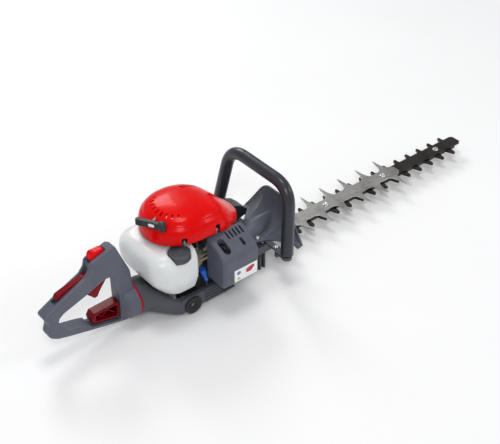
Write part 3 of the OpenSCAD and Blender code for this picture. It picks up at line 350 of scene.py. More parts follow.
def bend(points, radius, steps=8):
    """A path with its corners rounded."""
    pts = [Vector(p) for p in points]
    out = [pts[0]]
    for i in range(1, len(pts) - 1):
        a, b = pts[i - 1] - pts[i], pts[i + 1] - pts[i]
        reach = min(radius, a.length * 0.48, b.length * 0.48)
        s, e = pts[i] + a.normalized() * reach, pts[i] + b.normalized() * reach
        for k in range(steps + 1):
            t = k / steps
            out.append(s * (1 - t) ** 2 + pts[i] * 2 * t * (1 - t) + e * t * t)
    return out + [pts[-1]]


def node_copy(name, node, edge=0.6, segments=2):
    """A merged copy of a CAD node with softened edges, for a machined or moulded look."""
    piece = bpy.data.objects.new(name, frame["nodes"][node].data.copy())
    piece.data.transform(PLACE.inverted())
    SCENE.collection.objects.link(piece)
    bm = bmesh.new()
    bm.from_mesh(piece.data)
    bmesh.ops.remove_doubles(bm, verts=bm.verts, dist=2e-3)
    bmesh.ops.dissolve_limit(bm, angle_limit=math.radians(0.6), verts=bm.verts, edges=bm.edges)
    bm.to_mesh(piece.data)
    bm.free()
    return soft_edges(piece, edge, segments) if edge else piece


def settle(piece, material, nodes=(), body=None, smooth=38):
    """Sets a finished piece down in the frame with its finish, body and slot."""
    nodes = list(nodes)
    body = body or BODY_OF[nodes[0]]
    piece.data.transform(PLACE)
    piece.data.materials.clear()
    piece.data.materials.append(FINISH[material])
    for polygon in piece.data.polygons:
        polygon.material_index = 0
    piece.data.shade_smooth()
    piece.data.set_sharp_from_angle(angle=math.radians(smooth))
    m = piece.modifiers.new("normals", "WEIGHTED_NORMAL")
    m.keep_sharp = True
    m.weight = 60
    evaluate(piece)
    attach(piece, body)
    if nodes:
        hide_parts(*nodes)
    return piece


# ------------------------------------------------------------------ geometry nodes


class Tree:
    """A Geometry Nodes group with named inputs, ending in real geometry and one material."""

    def __init__(self, name, inputs, material):
        self.group = bpy.data.node_groups.new(name, "GeometryNodeTree")
        face = self.group.interface
        face.new_socket("Geometry", in_out="INPUT", socket_type="NodeSocketGeometry")
        self.ids = {}
        for label, kind, value in inputs:
            s = face.new_socket(label, in_out="INPUT", socket_type=kind)
            s.default_value = value
            self.ids[label] = s.identifier
        face.new_socket("Geometry", in_out="OUTPUT", socket_type="NodeSocketGeometry")
        self.start = self.group.nodes.new("NodeGroupInput")
        self.end = self.group.nodes.new("NodeGroupOutput")
        self.material = material

    def add(self, kind, links=None, **settings):
        node = self.group.nodes.new(kind)
        for key, value in settings.items():
            setattr(node, key, value)
        for key, value in (links or {}).items():
            socket = node.inputs[key]
            if isinstance(value, bpy.types.NodeSocket):
                self.group.links.new(value, socket)
            else:
                socket.default_value = value
        return node

    def given(self, label):
        return self.start.outputs[label]

    def close(self, socket):
        real = self.add("GeometryNodeRealizeInstances", {"Geometry": socket})
        done = self.add("GeometryNodeSetMaterial", {"Geometry": real.outputs[0], "Material": FINISH[self.material]})
        self.group.links.new(done.outputs[0], self.end.inputs[0])
        return self


def grow(name, host, tree, **values):
    """Runs a tree on a host mesh and returns the plain result."""
    piece = host or add_mesh(name, [(0, 0, 0)], [])
    piece.name = name
    m = piece.modifiers.new("rule", "NODES")
    m.node_group = tree.group
    for label, value in values.items():
        m[tree.ids[label.replace("_", " ")]] = value
    return evaluate(piece)


def screw_heads(name, spots, radius, height, turned=(0.0, 0.0, 0.0)):
    """Socket screw heads on every spot."""
    return grow(name, add_mesh("spots", spots, []), screw_tree(), radius=radius, height=height, turn=turned)


def bar_row_tree():
    """Equal bars at even steps along a line."""
    t = Tree("bar_row", [("count", "NodeSocketInt", 3), ("first", "NodeSocketVector", (0, 0, 0)),
                         ("step", "NodeSocketVector", (1, 0, 0)), ("size", "NodeSocketVector", (1, 1, 1)),
                         ("tilt", "NodeSocketVector", (0, 0, 0))], "black_plastic")
    line = t.add("GeometryNodeMeshLine", {"Count": t.given("count"), "Start Location": t.given("first"),
                                          "Offset": t.given("step")}, mode="OFFSET")
    bar = t.add("GeometryNodeMeshCube", {"Size": t.given("size")})
    put = t.add("GeometryNodeInstanceOnPoints", {"Points": line.outputs[0], "Instance": bar.outputs[0],
                                                 "Rotation": t.given("tilt")})
    return t.close(put.outputs[0])


def ring_tree():
    """Bars or pegs set evenly round a circle, each facing outwards."""
    t = Tree("ring", [("count", "NodeSocketInt", 12), ("radius", "NodeSocketFloat", 10.0),
                      ("size", "NodeSocketVector", (1, 1, 1))], "black_plastic")
    circle = t.add("GeometryNodeMeshCircle", {"Vertices": t.given("count"), "Radius": t.given("radius")})
    spot = t.add("GeometryNodeInputPosition")
    facing = t.add("FunctionNodeAlignEulerToVector", {"Vector": spot.outputs[0]}, axis="X", pivot_axis="Z")
    peg = t.add("GeometryNodeMeshCube", {"Size": t.given("size"), "Vertices X": 2, "Vertices Y": 2, "Vertices Z": 2})
    put = t.add("GeometryNodeInstanceOnPoints", {"Points": circle.outputs[0], "Instance": peg.outputs[0],
                                                 "Rotation": facing.outputs[0]})
    return t.close(put.outputs[0])


def screw_tree():
    """A domed screw head with a hex socket on every point of the host."""
    t = Tree("screw_heads", [("radius", "NodeSocketFloat", 4.0), ("height", "NodeSocketFloat", 3.0),
                             ("turn", "NodeSocketVector", (0, 0, 0))], "bright_steel")

    def part(share, factor):
        return t.add("ShaderNodeMath", {0: t.given(share), 1: factor}, operation="MULTIPLY").outputs[0]

    def lift(geometry, height):
        offset = t.add("ShaderNodeCombineXYZ", {"Z": height})
        return t.add("GeometryNodeTransform", {"Geometry": geometry, "Translation": offset.outputs[0]}).outputs[0]

    washer = t.add("GeometryNodeMeshCone", {"Vertices": 28, "Radius Top": part("radius", 1.12),
                                            "Radius Bottom": part("radius", 1.18), "Depth": part("height", 0.22)})
    shank = t.add("GeometryNodeMeshCylinder", {"Vertices": 28, "Radius": part("radius", 0.86),
                                               "Depth": part("height", 0.8)})
    crown = t.add("GeometryNodeMeshCone", {"Vertices": 28, "Radius Top": part("radius", 0.68),
                                           "Radius Bottom": part("radius", 0.86), "Depth": part("height", 0.22)})
    hexagon = t.add("GeometryNodeMeshCylinder", {"Vertices": 6, "Radius": part("radius", 0.46),
                                                 "Depth": part("height", 1.0)})
    body = t.add("GeometryNodeMeshBoolean", operation="UNION", solver="MANIFOLD")
    for shape in (lift(washer.outputs[0], part("height", 0.0)), lift(shank.outputs[0], part("height", 0.4)),
                  lift(crown.outputs[0], part("height", 0.78))):
        t.group.links.new(shape, body.inputs[1])
    socketed = t.add("GeometryNodeMeshBoolean", {0: body.outputs[0]}, operation="DIFFERENCE", solver="MANIFOLD")
    t.group.links.new(lift(hexagon.outputs[0], part("height", 1.05)), socketed.inputs[1])
    turned = t.add("GeometryNodeTransform", {"Geometry": socketed.outputs[0], "Rotation": t.given("turn")})
    put = t.add("GeometryNodeInstanceOnPoints", {"Points": t.start.outputs[0], "Instance": turned.outputs[0]})
    return t.close(put.outputs[0])


def comb_tree():
    """Repeats the host tooth at the blade's pitch on one side, and again on the other, shifted."""
    t = Tree("comb", [("count", "NodeSocketInt", 10), ("pitch", "NodeSocketFloat", 35.0),
                      ("shift", "NodeSocketFloat", 0.0)], "black_steel")
    back = t.add("ShaderNodeMath", {0: t.given("pitch"), 1: -1.0}, operation="MULTIPLY")
    aside = t.add("ShaderNodeMath", {0: t.given("shift"), 1: -1.0}, operation="MULTIPLY")
    step = t.add("ShaderNodeCombineXYZ", {"X": back.outputs[0]})
    offset = t.add("ShaderNodeCombineXYZ", {"X": aside.outputs[0]})
    row = t.add("GeometryNodeMeshLine", {"Count": t.given("count"), "Offset": step.outputs[0]}, mode="OFFSET")
    near = t.add("GeometryNodeInstanceOnPoints", {"Points": row.outputs[0], "Instance": t.start.outputs[0]})
    flipped = t.add("GeometryNodeTransform", {"Geometry": t.start.outputs[0], "Translation": offset.outputs[0],
                                              "Scale": (1.0, -1.0, 1.0)})
    righted = t.add("GeometryNodeFlipFaces", {"Mesh": flipped.outputs[0]})
    far = t.add("GeometryNodeInstanceOnPoints", {"Points": row.outputs[0], "Instance": righted.outputs[0]})
    both = t.add("GeometryNodeJoinGeometry")
    t.group.links.new(near.outputs[0], both.inputs[0])
    t.group.links.new(far.outputs[0], both.inputs[0])
    return t.close(both.outputs[0])


# ------------------------------------------------------------------ finishes

FINISH = {}


class Shader:
    """A Principled material with helpers for object-space patterns."""

    def __init__(self, name, colour, roughness, metallic=0.0, **fixed):
        self.material = bpy.data.materials.new(name)
        self.material.use_nodes = True
        self.tree = self.material.node_tree
        self.tree.nodes.clear()
        self.out = self.tree.nodes.new("ShaderNodeOutputMaterial")
        self.bsdf = self.tree.nodes.new("ShaderNodeBsdfPrincipled")
        self.tree.links.new(self.bsdf.outputs[0], self.out.inputs[0])
        self.bsdf.inputs["Base Color"].default_value = (*colour, 1)
        self.bsdf.inputs["Roughness"].default_value = roughness
        self.bsdf.inputs["Metallic"].default_value = metallic
        for key, value in fixed.items():
            self.bsdf.inputs[key.replace("_", " ")].default_value = value
        self.where = self.tree.nodes.new("ShaderNodeTexCoord").outputs["Object"]
        self.material.diffuse_color = (*colour, 1)
        FINISH[name] = self.material

    def noise(self, scale, stretch=(1, 1, 1), detail=4.0, rough=0.55):
        spread = self.tree.nodes.new("ShaderNodeMapping")
        spread.inputs["Scale"].default_value = stretch
        self.tree.links.new(self.where, spread.inputs[0])
        n = self.tree.nodes.new("ShaderNodeTexNoise")
        n.inputs["Scale"].default_value = scale
        n.inputs["Detail"].default_value = detail
        n.inputs["Roughness"].default_value = rough
        self.tree.links.new(spread.outputs[0], n.inputs["Vector"])
        return n.outputs["Fac"]

    def ranged(self, value, low, high):
        """Spreads a pattern's middle range over low to high."""
        r = self.tree.nodes.new("ShaderNodeMapRange")
        for key, number in (("From Min", 0.3), ("From Max", 0.7), ("To Min", low), ("To Max", high)):
            r.inputs[key].default_value = number
        self.tree.links.new(value, r.inputs[0])
        return r.outputs[0]

    def colours(self, value, stops):
        ramp = self.tree.nodes.new("ShaderNodeValToRGB")
        ramp.color_ramp.elements[0].position = stops[0][0]
        ramp.color_ramp.elements[1].position = stops[-1][0]
        for place, _ in stops[1:-1]:
            ramp.color_ramp.elements.new(place)
        for e, (_, c) in zip(ramp.color_ramp.elements, stops):
            e.color = (*c, 1)
        self.tree.links.new(value, ramp.inputs[0])
        return ramp.outputs[0]

    def paint(self, socket):
        self.tree.links.new(socket, self.bsdf.inputs["Base Color"])

    def gloss(self, socket):
        self.tree.links.new(socket, self.bsdf.inputs["Roughness"])

    def bumps(self, layers):
        """layers: (height socket, distance in metres) from coarse to fine."""
        last = None
        for height, distance in layers:
            b = self.tree.nodes.new("ShaderNodeBump")
            b.inputs["Strength"].default_value = 1.0
            b.inputs["Distance"].default_value = distance
            self.tree.links.new(height, b.inputs["Height"])
            if last:
                self.tree.links.new(last, b.inputs["Normal"])
            last = b.outputs[0]
        self.tree.links.new(last, self.bsdf.inputs["Normal"])


def shade(colour, k):
    return tuple(max(0.0, min(1.0, c * k)) for c in colour)


def moulded(name, colour, roughness=0.5, grain=0.00006, spread=0.10, **fixed):
    """Moulded plastic: fine spark-eroded grain, slight mottling and rubbed patches."""
    s = Shader(name, colour, roughness, **fixed)
    soft = s.noise(28, detail=5)
    s.paint(s.colours(soft, [(0.3, shade(colour, 1 - spread)), (0.5, colour), (0.72, shade(colour, 1 + spread))]))
    s.gloss(s.ranged(s.noise(60, detail=6), roughness - 0.08, roughness + 0.09))
    s.bumps([(s.noise(160, detail=3), grain * 0.8), (s.noise(1500, detail=2), grain)])
    return s


def coated(name, colour, roughness, coat=0.0, peel=0.00003, spread=0.05, **fixed):
    """Painted or powder-coated surface with a faint orange peel."""
    s = Shader(name, colour, roughness, Coat_Weight=coat, Coat_Roughness=0.06, **fixed)
    s.paint(s.colours(s.noise(12, detail=3), [(0.3, shade(colour, 1 - spread)), (0.7, shade(colour, 1 + spread))]))
    s.gloss(s.ranged(s.noise(45, detail=7), roughness - 0.05, roughness + 0.07))
    s.bumps([(s.noise(240, detail=2), peel), (s.noise(900, detail=2), peel * 0.25)])
    return s


def metal(name, colour, roughness, stretch=(1, 1, 1), grain=0.00002, tint=None, spread=0.12, **fixed):
    """Bare metal with a brushed direction, rubbed patches and a slight tint."""
    s = Shader(name, colour, roughness, 1.0, **fixed)
    wide = s.noise(22, detail=6, rough=0.62)
    s.paint(s.colours(wide, [(0.28, tint or shade(colour, 1 - spread * 1.6)), (0.5, colour),
                             (0.75, shade(colour, 1 + spread))]))
    lines = s.noise(520, stretch, detail=4, rough=0.7)
    s.gloss(s.ranged(lines, roughness - 0.1, roughness + 0.14))
    s.bumps([(wide, 0.00004), (lines, grain)])
    return s


def make_finishes():
    look = SCENE.trimmer_colours
    grey, dark, red = tuple(look.moulding), tuple(look.framework), tuple(look.cover)
    moulded("grip_grey", grey, 0.48)
    moulded("cover_grey", shade(grey, 0.95), 0.46)
    moulded("frame_plastic", dark, 0.5)
    moulded("black_plastic", (0.016, 0.018, 0.022), 0.42)
    moulded("coil_plastic", (0.02, 0.02, 0.022), 0.5)
    moulded("insulator", (0.32, 0.26, 0.18), 0.6, spread=0.2)
    moulded("black_rubber", (0.014, 0.014, 0.015), 0.62, grain=0.00008, spread=0.18)
    moulded("bulb", (0.42, 0.45, 0.48), 0.3, Subsurface_Weight=0.2, Subsurface_Radius=(0.004, 0.004, 0.004),
            Subsurface_Scale=1.0)
    s = moulded("tank_white", (0.76, 0.78, 0.785), 0.36, grain=0.00005, spread=0.035, Subsurface_Weight=0.35,
                Subsurface_Radius=(0.012, 0.013, 0.014), Subsurface_Scale=1.0, Coat_Weight=0.15, Coat_Roughness=0.25)
    s.bsdf.inputs["IOR"].default_value = 1.5
    moulded("label", (0.86, 0.87, 0.87), 0.34, grain=0.00002, spread=0.03)
    moulded("label_red", (0.50, 0.014, 0.03), 0.4, grain=0.00002)
    moulded("label_blue", (0.14, 0.20, 0.42), 0.4, grain=0.00002)
    moulded("label_sand", (0.52, 0.45, 0.20), 0.4, grain=0.00002)
    moulded("ceramic", (0.82, 0.82, 0.8), 0.18, grain=0.00001, spread=0.04)
    moulded("blue_sleeve", (0.012, 0.11, 0.55), 0.34)
    coated("cover_red", red, 0.26, coat=0.1, peel=0.00002, spread=0.06, Specular_IOR_Level=0.1)
    coated("switch_red", (0.72, 0.0, 0.005), 0.34, coat=0.06, peel=0.00001, Specular_IOR_Level=0.1)
    coated("seam_red", (0.46, 0.002, 0.02), 0.45, peel=0.00001, Specular_IOR_Level=0.15)
    coated("handle_coat", shade(grey, 0.3), 0.32, coat=0.22, peel=0.00004, Specular_IOR_Level=0.3)
    coated("case_grey", shade(dark, 0.8), 0.42, coat=0.1, peel=0.0001, spread=0.15)
    coated("trigger_red", (0.2, 0.0, 0.006), 0.34, coat=0.06, peel=0.00002, spread=0.14, Specular_IOR_Level=0.1,
           Transmission_Weight=0.12, Subsurface_Weight=0.25, Subsurface_Radius=(0.006, 0.001, 0.001),
           Subsurface_Scale=1.0)
    metal("bright_steel", (0.78, 0.79, 0.8), 0.22)
    metal("dark_steel", (0.32, 0.32, 0.33), 0.36)
    metal("black_steel", (0.058, 0.053, 0.050), 0.36, stretch=(0.15, 1, 1), tint=(0.03, 0.026, 0.024), spread=0.3)
    metal("guard_steel", (0.50, 0.49, 0.47), 0.32, stretch=(0.12, 1, 1), tint=(0.26, 0.25, 0.235), grain=0.00005,
          spread=0.22)
    metal("cast_aluminium", (0.62, 0.60, 0.56), 0.42, tint=(0.42, 0.40, 0.36), grain=0.00009)
    metal("hot_metal", (0.20, 0.175, 0.15), 0.45, tint=(0.12, 0.09, 0.075))
    moulded("filter_foam", (0.42, 0.34, 0.14), 0.9, grain=0.0006, spread=0.35)
    moulded("rope", (0.5, 0.5, 0.46), 0.8, grain=0.0002, spread=0.3)
    s = Shader("floor_pale", (0.93, 0.93, 0.93), 0.55)
    s.paint(s.colours(s.noise(3), [(0.3, (0.92, 0.92, 0.92)), (0.7, (0.94, 0.94, 0.94))]))
    for node, obj in frame["nodes"].items():
        obj.data.materials.clear()
        obj.data.materials.append(FINISH[SLOT_OF[node]])


# ------------------------------------------------------------------ settings


class TrimmerColours(bpy.types.PropertyGroup):
    moulding: FloatVectorProperty(name="Moulding", description="Grey of the handle and covers", subtype="COLOR",
                                  size=3, default=(0.094, 0.102, 0.135))
    framework: FloatVectorProperty(name="Framework", description="Dark grey of the frame", subtype="COLOR",
                                   size=3, default=(0.064, 0.068, 0.084))
    cover: FloatVectorProperty(name="Engine cover", description="Red of the starter cover and shroud", subtype="COLOR",
                               size=3, default=(0.72, 0.0, 0.0))


class TrimmerSizes(bpy.types.PropertyGroup):
    grip_edge: FloatProperty(name="Handle edge", description="Rounding of the rear handle's edges, in millimetres",
                             default=5.5, min=1.0, max=9.0)
    cover_full: FloatProperty(name="Cover fullness", description="How square the engine cover's shoulder is",
                              default=2.7, min=2.0, max=4.0)
    cover_height: FloatProperty(name="Cover crown", description="Height of the cover's crown, in millimetres",
                                default=218.0, min=200.0, max=224.0)
    rim_radius: FloatProperty(name="Cover radius", description="Radius of the cover's round rear, in millimetres",
                              default=75.0, min=68.0, max=82.0)
    tooth_grind: FloatProperty(name="Tooth edge", description="Width of the ground edge on the blades, in millimetres",
                               default=0.7, min=0.2, max=1.1)
    rail_ribs: IntProperty(name="Rail ribs", description="Ribs along each frame rail", default=4, min=2, max=5)
    floor_size: FloatProperty(name="Floor", description="Width of the floor", default=14.0, min=4.0, max=40.0,
                              unit="LENGTH")


def sizes():
    return SCENE.trimmer_sizes


# ------------------------------------------------------------------ rear handle

SWIVEL_Z = 49.0
HANDLE_OUTLINE = [(-122, 81, 3), (-127, 125, 10), (-153, 190, 5), (-161, 195, 4), (-205, 182, 4), (-209.5, 178, 3),
                  (-212, 166, 7), (-222, 154, 9), (-268, 133, 12), (-300, 116, 8), (-309, 111, 3), (-310, 106, 5),
                  (-301, 91, 9), (-300, 81, 9), (-305, 67, 9), (-302, 58, 9), (-288, 49, 12), (-268, 43, 20),
                  (-213, 29, 20), (-171, 19, 20), (-141, 13, 8), (-122, 14, 2)]
LOOP_OUTLINE = [(-155, 69, 4), (-156, 115, 9), (-170, 133, 9), (-183, 134, 9), (-225, 118, 12), (-271, 103, 9),
                (-281, 96, 7), (-284, 87, 7), (-282, 67, 8), (-272, 60, 9), (-236, 51, 4), (-222, 46, 2),
                (-218, 39, 3), (-155, 23, 5)]


HANDLE_SCREWS = ((-166, 167), (-140, 111), (-274, 115), (-292, 67), (-178, 28))


def handle_body():
    """Both halves in one solid: the looped grip plate and the round collar that closes on the swivel."""
    edge = sizes().grip_edge
    plate = prism("plate", fillet(HANDLE_OUTLINE, 6), -14, 14, edge, axis="y", steps=5)
    hole = prism("hole", fillet(LOOP_OUTLINE, 6), -30, 30, 0, axis="y")
    rings = []
    count = 56
    for x, k in ((-122.0, 0.0), (-122.8, 0.0), (-131.0, 0.0), (-137.0, 0.02), (-141.0, 0.1), (-145.0, 0.34),
                 (-149.0, 0.68), (-152.0, 0.9), (-154.0, 1.0)):
        ring = []
        shy = 0.8 if x == -122.0 else 0.0
        for i in range(count):
            a = 2 * math.pi * i / count
            c, s = math.cos(a), math.sin(a)
            round_p = ((35 - shy) * c, SWIVEL_Z + (35 - shy) * s)
            flat_p = (12.0 * math.copysign(abs(c) ** 0.45, c), SWIVEL_Z + 1 + 30 * math.copysign(abs(s) ** 0.8, s))
            ring.append((x, round_p[0] * (1 - k) + flat_p[0] * k, round_p[1] * (1 - k) + flat_p[1] * k))
        rings.append(ring)
    body = cut(plate, loft("collar", rings), how="UNION")
    spigot = lathe("spigot_seat", [(27.6, -141.2), (27.6, -134.2), (22.5, -134.2), (22.5, -110)], (0, 0, SWIVEL_Z),
                   "x", 56)
    body = cut(body, hole, spigot)
    lock_slot = box_piece("lock_slot", (-284, -6.6, 117), (-208, 6.6, 190), 2)
    trigger_slot = box_piece("trigger_slot", (-230, -6.6, 100), (-168, 6.6, 151), 1.5)
    switch_well = turn(box_piece("switch_well", (-207.5, -7.2, 173), (-172.5, 7.2, 215), 2.5), 15.4, "Y",
                       (-190, 0, 189))
    stem_slot = box_piece("stem_slot", (-161, -9.6, 27), (-144, 9.6, 63), 1)
    cutters = [lock_slot, trigger_slot, switch_well, stem_slot]
    for x, z in HANDLE_SCREWS:
        cutters.append(lathe("screw_well", [(3.7, 9), (3.7, 20)], (x, 0, z), "y", 24))
    return cut(body, *cutters)


class TRIMMER_OT_rear_handle(bpy.types.Operator):
    """Builds the two halves of the swivelling rear handle and their screws"""
    bl_idname = "trimmer.rear_handle"
    bl_label = "Rear handle"

    def execute(self, context):
        body = handle_body()
        other = bpy.data.objects.new("handle_shell_right", body.data.copy())
        SCENE.collection.objects.link(other)
        left = cut(body, box_piece("cut_right", (-400, -60, -60), (0, 0.12, 300)))
        right = cut(other, box_piece("cut_left", (-400, -0.12, -60), (0, 60, 300)))
        left.name = "handle_shell_left"
        settle(left, "grip_grey", ["rear_handle_left"], smooth=32)
        settle(right, "grip_grey", ["rear_handle_right"], smooth=32)
        heads = screw_heads("handle_screw_heads", [(x, 9.1, z) for x, z in HANDLE_SCREWS], 2.7, 2.0,
                            (-math.pi / 2, 0.0, 0.0))
        shafts = [lathe("shaft", [(1.75, -9), (1.75, 9.2)], (x, 0, z), "y", 20) for x, z in HANDLE_SCREWS]
        settle(merge("handle_screws", [heads] + shafts), "bright_steel", ["rear_handle_screws"])
        return {"FINISHED"}


class TRIMMER_OT_controls(bpy.types.Operator):
    """Builds the throttle trigger, throttle lock, stop switch and swivel lock trigger"""
    bl_idname = "trimmer.controls"
    bl_label = "Handle controls"

    def execute(self, context):
        trigger = prism("trigger", fillet([(-184, 147), (-200, 133), (-214, 119), (-218, 111, 3), (-210, 103, 14),
                                           (-202, 94, 3.2), (-195.5, 95, 4), (-190, 105, 22), (-172, 129, 8),
                                           (-170, 145, 3)], 3),
                        -6, 6, 2.6, axis="y", steps=4)
        pin = lathe("pin_hole", [(2.1, -20), (2.1, 20)], (-176, 0, 142), "y", 20)
        settle(cut(trigger, pin), "trigger_red", ["throttle_trigger"])
        lock = prism("lock_lever", fillet([(-210, 155), (-222, 154, 4), (-250, 147.5, 20), (-276, 140, 3),
                                           (-280, 134, 3), (-278, 129, 2), (-250, 136, 20), (-222, 142),
                                           (-212, 141)], 2), -6, 6, 2.2, axis="y")
        settle(cut(lock, lathe("pin_hole", [(2.1, -20), (2.1, 20)], (-212, 0, 147), "y", 20)),
               "trigger_red", ["throttle_lock"])
        rocker = prism("rocker", fillet([(-15, -5, 1), (-15, 2, 2), (-11, 8.6, 3), (-6, 10.5, 4), (0, 8, 16),
                                         (12.5, 5, 2),
                                         (15, 3, 1.5), (15, -5, 1)], 2), -6.6, 6.6, 1.6, axis="y")
        grips = [box_piece("grip_line", (-9.4 + 2.6 * i, -5, 8.4), (-8.2 + 2.6 * i, 5, 12.5), 0.3) for i in range(4)]
        rocker = cut(rocker, *grips)
        move(turn(rocker, -15.4, "Y"), -190, 0, 189)
        settle(rocker, "switch_red", ["stop_switch"])
        body = prism("swivel_lock", fillet([(-210, 63, 3), (-157, 65, 1), (-156, 29, 1), (-214, 41, 4),
                                            (-216, 53, 5)], 3),
                     -11, 11, 2.4, axis="y", steps=4)
        stem = box_piece("stem", (-158, -9, 29), (-146, 9, 61), 0.6)
        well = prism("well", fillet([(-207, 45), (-160.5, 34.5), (-160.5, 60.5), (-207, 58.5)], 3), -20, 8, 0, axis="y")
        body = cut(cut(body, stem, how="UNION"), well)
        for a, b in (((-206, 57), (-184, 40)), ((-198, 43), (-170, 60)), ((-184, 59), (-161, 38))):
            along = (Vector(b) - Vector(a)).normalized() * 4
            across = Vector((-along.y, along.x)) * 0.22
            a, b = Vector(a) - along, Vector(b) + along
            rib = prism("rib", [a - across, b - across, b + across, a + across], -6.5, 9, 0, axis="y")
            body = cut(body, rib, how="UNION")
        settle(body, "trigger_red", ["swivel_lock_trigger"], smooth=30)
        return {"FINISHED"}


# ------------------------------------------------------------------ frame


MOUNTS_X = (-26, 52)


def frame_neck():
    """The spigot, the neck that widens from the collar, and the two rails; the frame operator adds their ribs."""
    count = 72
    rings = []
    sections = ((-118, 0.0), (-117, 0.0), (-110, 0.0), (-104, 0.06), (-96, 0.2), (-86, 0.42), (-74, 0.68),
                (-62, 0.88), (-50, 1.0), (-38, 1.0))
    for x, k in sections:
        ring = []
        for i in range(count):
            a = 2 * math.pi * i / count
            c, s = math.cos(a), math.sin(a)
            r = 33.4 if x == -118 else 34.4
            tray = (62 * math.copysign(abs(c) ** 0.28, c), 21 + 21 * math.copysign(abs(s) ** 0.5, s))
            if tray[1] < 9:
                tray = (tray[0] * (1 - 0.2 * (1 - tray[1] / 9)), tray[1])
            ring.append((x, r * c * (1 - k) + tray[0] * k, (SWIVEL_Z + r * s) * (1 - k) + tray[1] * k))
        rings.append(ring)
    neck = loft("neck", rings)
    rail = fillet([(44, 0.4, 1), (52, 0, 2), (62, 12, 4), (62, 40, 3), (50, 40, 3), (50, 5, 1), (44, 5, 1)], 2)
    left = prism("rail", rail, -50, 74, 1.2, axis="x")
    right = mirrored(left, "rail_right")
    body = cut(neck, left, right, how="UNION")
    tray = loft("tray", [[(x, y * w, z) for y, z in ((-1, lo), (1, lo), (1, 110), (-1, 110))]
                         for x, w, lo in ((-88, 20, 34), (-84, 23, 27), (-60, 44, 8), (-30, 44, 8))])
    well = box_piece("well", (-60, -50, 10), (80, 50, 110), 1)
    floor = box_piece("floor_gap", (-46, -44, -5), (80, 44, 30), 1)
    clearance = tank_skin(2.0, "tank_room")
    cable = lathe("cable_way", [(8, -150), (8, -80)], (0, 0, SWIVEL_Z), "x", 24)
    cutters = [tray, well, floor, clearance, cable]
    for x in MOUNTS_X:
        for ends in ((-70, -49), (49, 70)):
            cutters.append(lathe("mount_hole", [(12.1, y) for y in ends], (x, 0, 20), "y", 32))
    body = cut(body, *cutters)
    spigot = lathe("spigot", [(21, -140), (27, -139.6), (27, -135), (22, -134.6), (22, -117)], (0, 0, SWIVEL_Z), "x",
                   48)
    cut(spigot, lathe("cable_way", [(8, -150), (8, -80)], (0, 0, SWIVEL_Z), "x", 24))
    return merge("frame_body", [body, spigot])


class TRIMMER_OT_frame(bpy.types.Operator):
    """Builds the frame with its neck and rails, the anti-vibration mounts and their bolts"""
    bl_idname = "trimmer.frame"
    bl_label = "Frame"

    def execute(self, context):
        body = frame_neck()
        ribs = sizes().rail_ribs
        rows = []
        for side in (-1, 1):
            rows.append(grow("rail_ribs", None, bar_row_tree(), count=ribs, first=(38.0, side * 62.6, 13.5),
                             step=(0.0, 0.0, 28.0 / ribs), size=(70.0, 2.6, 3.2)))
        rows = [soft_edges(outward(r), 0.9, 3) for r in rows]
        settle(merge("frame_body_ribbed", [body] + rows), "frame_plastic", ["frame"], smooth=30)
        mounts, bolts = [], []
        for side in (-1, 1):
            rear = lathe("rear_mount", [(12, 24), (12, 62.04), (18.1, 62.05), (18.5, 62.6), (18.5, 65.2),
                                        (17.7, 66.05), (13.4, 66.05),
                                        (12.6, 65.2), (11.4, 65.2), (10.8, 66.0), (8.2, 66.0), (7.6, 64.6),
                                        (4.2, 63.4), (4.0, 24)],
                         (-26, 0, 20), "y", 56)
            front = lathe("front_mount", [(12, 42.6), (12, 60.6), (11.2, 61.4), (6.5, 61.4), (6, 60.4), (4, 60.4),
                                          (4, 42.6)], (52, 0, 20), "y", 40)
            for m in (rear, front):
                if side < 0:
                    m.data.transform(Matrix.Scale(-1, 4, (0, 1, 0)))
                outward(m)
            mounts += [rear, front]
            for x, a, b in zip(MOUNTS_X, (24, 43), (61.5, 58.5)):
                bolts.append(lathe("bolt", [(3.9, a * side), (3.9, b * side)], (x, 0, 20), "y", 24))
        settle(merge("mounts", mounts), "black_rubber", ["av_buffers"])
        heads = []
        for side in (-1, 1):
            spots = [(x, y * side, 20) for x, y in zip(MOUNTS_X, (61.5, 58.4))]
            heads.append(screw_heads("mount_heads", spots, 3.2, 1.4, (-side * math.pi / 2, 0.0, 0.0)))
        settle(merge("mount_bolts", bolts + heads), "dark_steel", ["av_bolts"])
        ring = lathe("seam_ring", [(22.5, -121.9), (34.0, -121.9), (34.7, -121.3), (34.7, -119.1), (34.0, -118.5),
                                   (22.5, -118.5)],
                     (0, 0, SWIVEL_Z), "x", 72)
        cut(ring, lathe("bore", [(22.4, -130), (22.4, -110)], (0, 0, SWIVEL_Z), "x", 48))
        settle(ring, "seam_red", ["swivel_ring"])
        return {"FINISHED"}


# ------------------------------------------------------------------ fuel tank


def tank_plan(rear, half, corner, front):
    return fillet([(front, -half, 3), (front, half, 3), (rear, half, corner), (rear, -half, corner)], corner, 9)


def tank_skin(grow_by, name):
    """The tank's closed outer skin through level outlines from the bottom up."""
    levels = [(61, -70, 58, 24), (62.2, -74, 61, 26), (67, -80, 64, 30), (76, -88, 67.5, 34), (86, -97, 71, 37),
              (90, -99.4, 72.4, 38),
              (92.5, -100.6, 73.6, 38), (98, -103.5, 74.4, 38), (107, -107, 75, 38), (120, -109.4, 75, 37),
              (132, -109.6, 74.4, 36),
              (141, -108.5, 72.4, 35), (147, -106, 69.4, 34), (152, -101.5, 64.5, 32), (155.6, -96, 59, 30),
              (157.6, -90, 53, 27), (158, -84, 47, 24)]
    rings = []
    for z, rear, half, corner in levels:
        plan = tank_plan(rear - grow_by, half + grow_by, corner, -19.0 + grow_by * 0.5)
        # every level gets the same number of points, evenly along its outline
        rings.append([(p[0], p[1], z + (grow_by if z > 110 else -grow_by)) for p in even(plan, 120)])
    return loft(name, rings)


